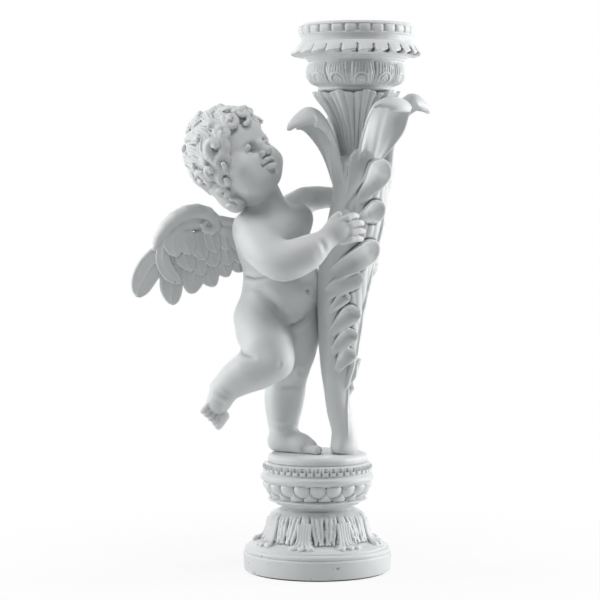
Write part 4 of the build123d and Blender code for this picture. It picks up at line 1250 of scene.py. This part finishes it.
def makeHorn():
    p = horn
    levels = np.linspace(p["foot"], p["top"], p["up"])
    angles = np.linspace(0, 2 * math.pi, p["around"], endpoint=False)
    level, angle = np.meshgrid(levels, angles, indexing="ij")
    middle, radius = hornAt(level)
    for _ in range(14):
        radius[1:-1] = (radius[:-2] + radius[1:-1] * 2 + radius[2:]) / 4
        middle[1:-1] = (middle[:-2] + middle[1:-1] * 2 + middle[2:]) / 4
    relief, proud = np.zeros_like(level), np.zeros_like(level)
    turn = np.angle(np.exp(1j * (angle - math.pi)))  # 0 at the left, positive towards the near face
    for side, shift, grow in ((1, 0.0, 1.0), (-1, -12.0, 1.12)):
        arc = np.clip(side * turn, 0, math.pi) * radius
        mine = side * turn > -0.001
        # the leaf's plain part ends where its lobes begin
        edge = np.interp(level[:, 0], [0, 55, 75, 100, 130, 165, 185, 215, 224, 240, 281],
                         [24, 22, 19, 20, 22, 30, 38, 40, 26, 30, 34])[:, None]
        plain = p["leafLift"] * (1 - ramp(arc, edge - 4, edge + 2)) * ramp(level, 52, 84)
        ribs = 0.7 * (np.abs(np.sin(arc * 0.42 + 0.02 * level)) ** 0.6 - 0.5) * ramp(arc, edge, edge
                + 4) * ramp(level, 84, 120)
        # flutes that rise into the curled leaves
        ribs += 1.6 * (np.abs(np.cos(2 * turn)) ** 0.7 - 0.5) * ramp(level, 215, 260)
        near = plain + ribs
        for rootX, rootZ, rootR, tipX, tipZ, tipR in lobes:
            root = (hornArc(rootX, rootZ + shift), rootZ + shift, rootR * grow)
            tip = (hornArc(tipX, tipZ + shift), tipZ + shift, tipR * grow)
            far, height, grown = spoon(arc, level, root, tip)
            soft = 0.5 + 3.2 * (1 - grown)
            inside = ramp(-far, -0.25, soft) * ramp(grown, 0.0, 0.3)
            near = near * (1 - inside) + height * inside
            near = near - 1.1 * bell(far, 1.0, 1.0) * ramp(grown, 0.55, 0.95)
            proud = np.where(mine, np.maximum(proud, inside), proud)
        relief = np.where(mine, near, relief)
    # the mouth draws in behind the petals, but not where a lobe's tip stands free
    relief -= 11 * ramp(level, 262, 277) * (1 - proud)
    # the spine, a thin ridge that runs down between the two leaves on the near right
    spineX = np.interp(level[:, 0], [12, 40, 60, 90, 130, 175, 225], [29, 27.5, 28.5, 36.5, 42, 52, 63])
    spineArc = np.array([hornArc(x, z) for x, z in zip(spineX, level[:, 0])])[:, None]
    relief += np.where(turn > 0, 1.7 * bell(turn * radius, spineArc, 1.1), 0) * ramp(level, 10,
            40) * ramp(230 - level, 0, 20)
    # a soft knob at the foot, on the near left
    relief += 3.6 * bell(turn, 1.15, 0.62) * bell(level, 4.5, 6.5) * ramp(level, -1, 3)
    out = radius + relief
    x = middle + out * np.cos(angle)
    y = p["y"] + out * np.sin(angle)
    points = np.stack([x, y, level + slabTop], -1).reshape(-1, 3)
    n = p["around"]
    i, k = np.meshgrid(np.arange(p["up"] - 1), np.arange(n), indexing="ij")
    a, b = i * n + k, i * n + (k + 1) % n
    faces = np.stack([a, b, b + n, a + n], -1).reshape(-1, 4)
    piece = pieceFrom("horn_leafed", points, faces)
    startEditing(piece)
    bpy.ops.mesh.select_all(action="DESELECT")
    bpy.ops.mesh.select_non_manifold()
    bpy.ops.mesh.fill_holes(sides=0)
    bpy.ops.mesh.select_all(action="SELECT")
    bpy.ops.mesh.normals_make_consistent(inside=False)
    stopEditing()
    return piece


finishCast(makeHorn(), castPlain, "horn_stem", smooth=70)

# four petals that curl out of the horn's mouth
petal = dict(base=axisOf("cup_bowl") + (0, 0, boxOf("horn_stem")[1][2]), along=72, across=30)
petals = {
    # azimuth, how far it swings round on the way to its tip, then stations of
    # (distance from the cup's axis, height above the horn's flat, half width,
    # how far its sides roll back, half thickness)
    "left": (-160, 0, [(11, -42, 12, -0.8, 2.4), (16, -25, 13, -0.6, 2.4), (20.0, -8, 15.5, -0.35, 2.3),
                       (22.0, 8, 18, 0.1, 2.3),
                       (25, 24, 21, 0.6, 2.2), (31, 40, 23.5, 1.0, 2.2), (39.5, 50, 24, 1.25, 2.1),
                       (48, 52, 21.5, 1.3, 2.1),
                       (56.5, 46.5, 16.5, 1.2, 2.0), (63, 38.5, 9.5, 0.9, 1.9), (65.5, 33, 2.5, 0.6, 1.4)]),
    "front": (-54, 10, [(9, -42, 8, -0.8, 2.4), (12, -25, 9, -0.8, 2.4), (16, -9, 11, -0.6, 2.4),
                        (21, 5, 14, -0.4, 2.4),
                        (27, 18, 19, 0.2, 2.4), (31.5, 33, 23, 0.7, 2.4), (36, 48, 23.5, 0.8, 2.4),
                        (43, 58.5, 22.5, 0.7, 2.4),
                        (50.5, 59.5, 21, 0.62, 2.3), (56, 54.5, 18, 0.6, 2.3), (57.5, 49.5, 11, 0.5, 1.8)]),
    "right": (12, 0, [(22, -42, 12, -0.8, 2.4), (28, -25, 12, -0.8, 2.4), (32, -8, 13, -0.7, 2.3),
                      (33, 8, 13, -0.6, 2.3),
                      (33.8, 24, 14, -0.3, 2.2), (35.5, 41, 17, 0.4, 2.2), (41.5, 57, 20, 1.0, 2.1),
                      (50.5, 65.5, 20.5, 1.2, 2.1),
                      (59.5, 63.5, 17, 1.15, 2.0), (66.5, 55.5, 10, 0.9, 1.9), (69, 50, 2.5, 0.6, 1.4)]),
    "back": (103, 0, [(13, -42, 12, -0.8, 2.4), (18, -25, 13, -0.7, 2.4), (23, -8, 15, -0.5, 2.4),
                      (25, 8, 17, 0.1, 2.3),
                      (27, 24, 19, 0.6, 2.2), (31, 39, 21.5, 1.0, 2.2), (38, 49, 22, 1.2, 2.1),
                      (46.5, 51.5, 20, 1.25, 2.1),
                      (54.5, 46.5, 15.5, 1.15, 2.0), (60, 38.5, 9, 0.9, 1.9), (62.5, 33, 2.5, 0.6, 1.4)]),
}


def smoothStations(stations, count):
    # a curve through the stations, Catmull-Rom
    rows = np.array(stations, float)
    rows = np.vstack([2 * rows[0] - rows[1], rows, 2 * rows[-1] - rows[-2]])
    spans = len(rows) - 3
    out = []
    for i in range(count):
        place = i / (count - 1) * spans
        k = min(int(place), spans - 1)
        t = place - k
        p0, p1, p2, p3 = rows[k:k + 4]
        out.append(0.5 * (2 * p1 + (p2 - p0) * t + (2 * p0 - 5 * p1 + 4 * p2 - p3) * t * t
                          + (3 * p1 - p0 - 3 * p2 + p3) * t ** 3))
    return np.array(out)


def makePetal(name, azimuth, swing, stations):
    p = petal
    rows = smoothStations(stations, p["along"])
    turn = np.radians(azimuth + swing * ramp(np.linspace(0, 1, p["along"]), 0.4, 1.0))
    away = np.stack([np.cos(turn), np.sin(turn), 0 * turn], 1)
    side = np.stack([-np.sin(turn), np.cos(turn), 0 * turn], 1)
    centre = p["base"] + rows[:, :1] * away + rows[:, 1:2] * upward
    tangent = np.gradient(centre, axis=0)
    tangent /= np.linalg.norm(tangent, axis=1)[:, None]
    outward = np.cross(side, tangent)
    outward /= np.linalg.norm(outward, axis=1)[:, None] * np.sign(outward[0] @ away[0])
    v = np.linspace(-1, 1, p["across"])
    v = np.sign(v) * (1 - (1 - np.abs(v)) ** 1.3)
    rings = []
    for i in range(p["along"]):
        half, droop, thick = rows[i, 2], rows[i, 3], rows[i, 4]
        droop = droop if abs(droop) > 0.02 else 0.02
        bow = v * droop
        lateral = half * np.sin(bow) / math.sin(droop)
        drop = half * (1 - np.cos(bow)) / math.sin(droop)
        part = i / (p["along"] - 1)
        keel = 0.9 * np.exp(-(v / 0.12) ** 2) - 0.9 * np.exp(-((np.abs(v) - 0.68) / 0.16) ** 2)
        rim = 1.1 * np.exp(-((np.abs(v) - 0.92) / 0.10) ** 2)
        skinOut = thick * np.sqrt(np.clip(1 - np.abs(v) ** 7, 0, 1)) + (keel + rim) * ramp(1.0 - part,
                0.0, 0.15)
        base = centre[i] + lateral[:, None] * side[i] + drop[:, None] * outward[i]
        upper = base + skinOut[:, None] * outward[i]
        under = base - (thick * np.sqrt(np.clip(1 - np.abs(v) ** 7, 0, 1)))[:, None] * outward[i]
        rings.append(np.vstack([upper, under[::-1][1:-1]]))
    n = len(rings[0])
    points = np.vstack(rings + [centre[:1], centre[-1:] + 0.8 * tangent[-1:]])
    faces = []
    for i in range(p["along"] - 1):
        for k in range(n):
            a, b = i * n + k, i * n + (k + 1) % n
            faces.append((a, b, b + n, a + n))
    foot, end = len(points) - 2, len(points) - 1
    last = (p["along"] - 1) * n
    caps = [(foot, (k + 1) % n, k) for k in range(n)] + [(end, last + k, last
                                                          + (k + 1) % n) for k in range(n)]
    mesh = bpy.data.meshes.new(name)
    mesh.from_pydata((points * mm).tolist(), [], faces + caps)
    piece = bpy.data.objects.new(name, mesh)
    bpy.context.scene.collection.objects.link(piece)
    startEditing(piece)
    closeShell()
    applyModifier(piece, "SUBSURF", levels=1, render_levels=1)
    return piece


for side, (azimuth, swing, stations) in petals.items():
    finishCast(makePetal(f"petal_{side}", azimuth, swing, stations), castPlain,
               f"curled_leaf_{side}", smooth=80)
print("horn done")

# pleated collar under the cup
collar = dict(axis=axisOf("shell_collar"), foot=boxOf("shell_collar")[0][2], pleats=30, scallops=10)


def makeCollar():
    p = collar
    n = p["foot"]
    piece = turnedPiece("shell_collar_pleated", [
        (4.3, n, 0), (13, n, 0), (14, n + 14, 6), (18.5, n + 34, 8), (26.5, n + 52, 8), (35.5, n + 63, 3),
        (38.6, n + 66.6, 0.8), (37.4, n + 67.6, 0.6), (32.6, n + 63.4, 1), (30.5, n + 63.8, 0.6),
        (30.2, n + 67.9, 0), (4.3, n + 67.9, 0),
    ], 0.9, 272)
    r, angle, z = aroundAxis(piece)
    wave = np.abs(np.sin(0.5 * (angle * p["pleats"] + 0.6 * np.sin(5 * angle)))) ** 0.7 - 0.55
    lobe = np.cos(angle * p["scallops"] + 0.9 + 0.5 * np.sin(2 * angle))
    outer = (z < n + 66.9) & (r > 13.2)
    strength = ramp(z, n + 2, n + 30)
    extra = np.where(outer, strength * 1.8 * wave + ramp(z, n + 20, n + 62) * 1.5 * lobe, 0)
    lift = ramp(r, 33, 38) * ramp(z, n + 60, n + 66) * (1.5 * lobe + 1.0 * wave)
    inner = (z > n + 67.7) | (r < 12)
    pushOut(piece, r, angle, z, np.where(inner, 0, extra), np.where(inner, 0, lift), p["axis"])
    return piece


finishCast(makeCollar(), castPlain, "shell_collar")

# hardware keeps its CAD shape
hardware = (
    (pinSteel, "tie_rod neck_pin hip_pins shoulder_pins wing_pins ankle_rod horn_foot_pin cup_stud"),
    (zincSteel, "tie_nut tie_washer anchor_nut cup_nut cup_washer"),
    (felt, "felt_pad"),
    (panSteel, "candle_pan"),
)
for material, names in hardware:
    for name in names.split():
        nodes[name].data.materials.clear()
        nodes[name].data.materials.append(material)
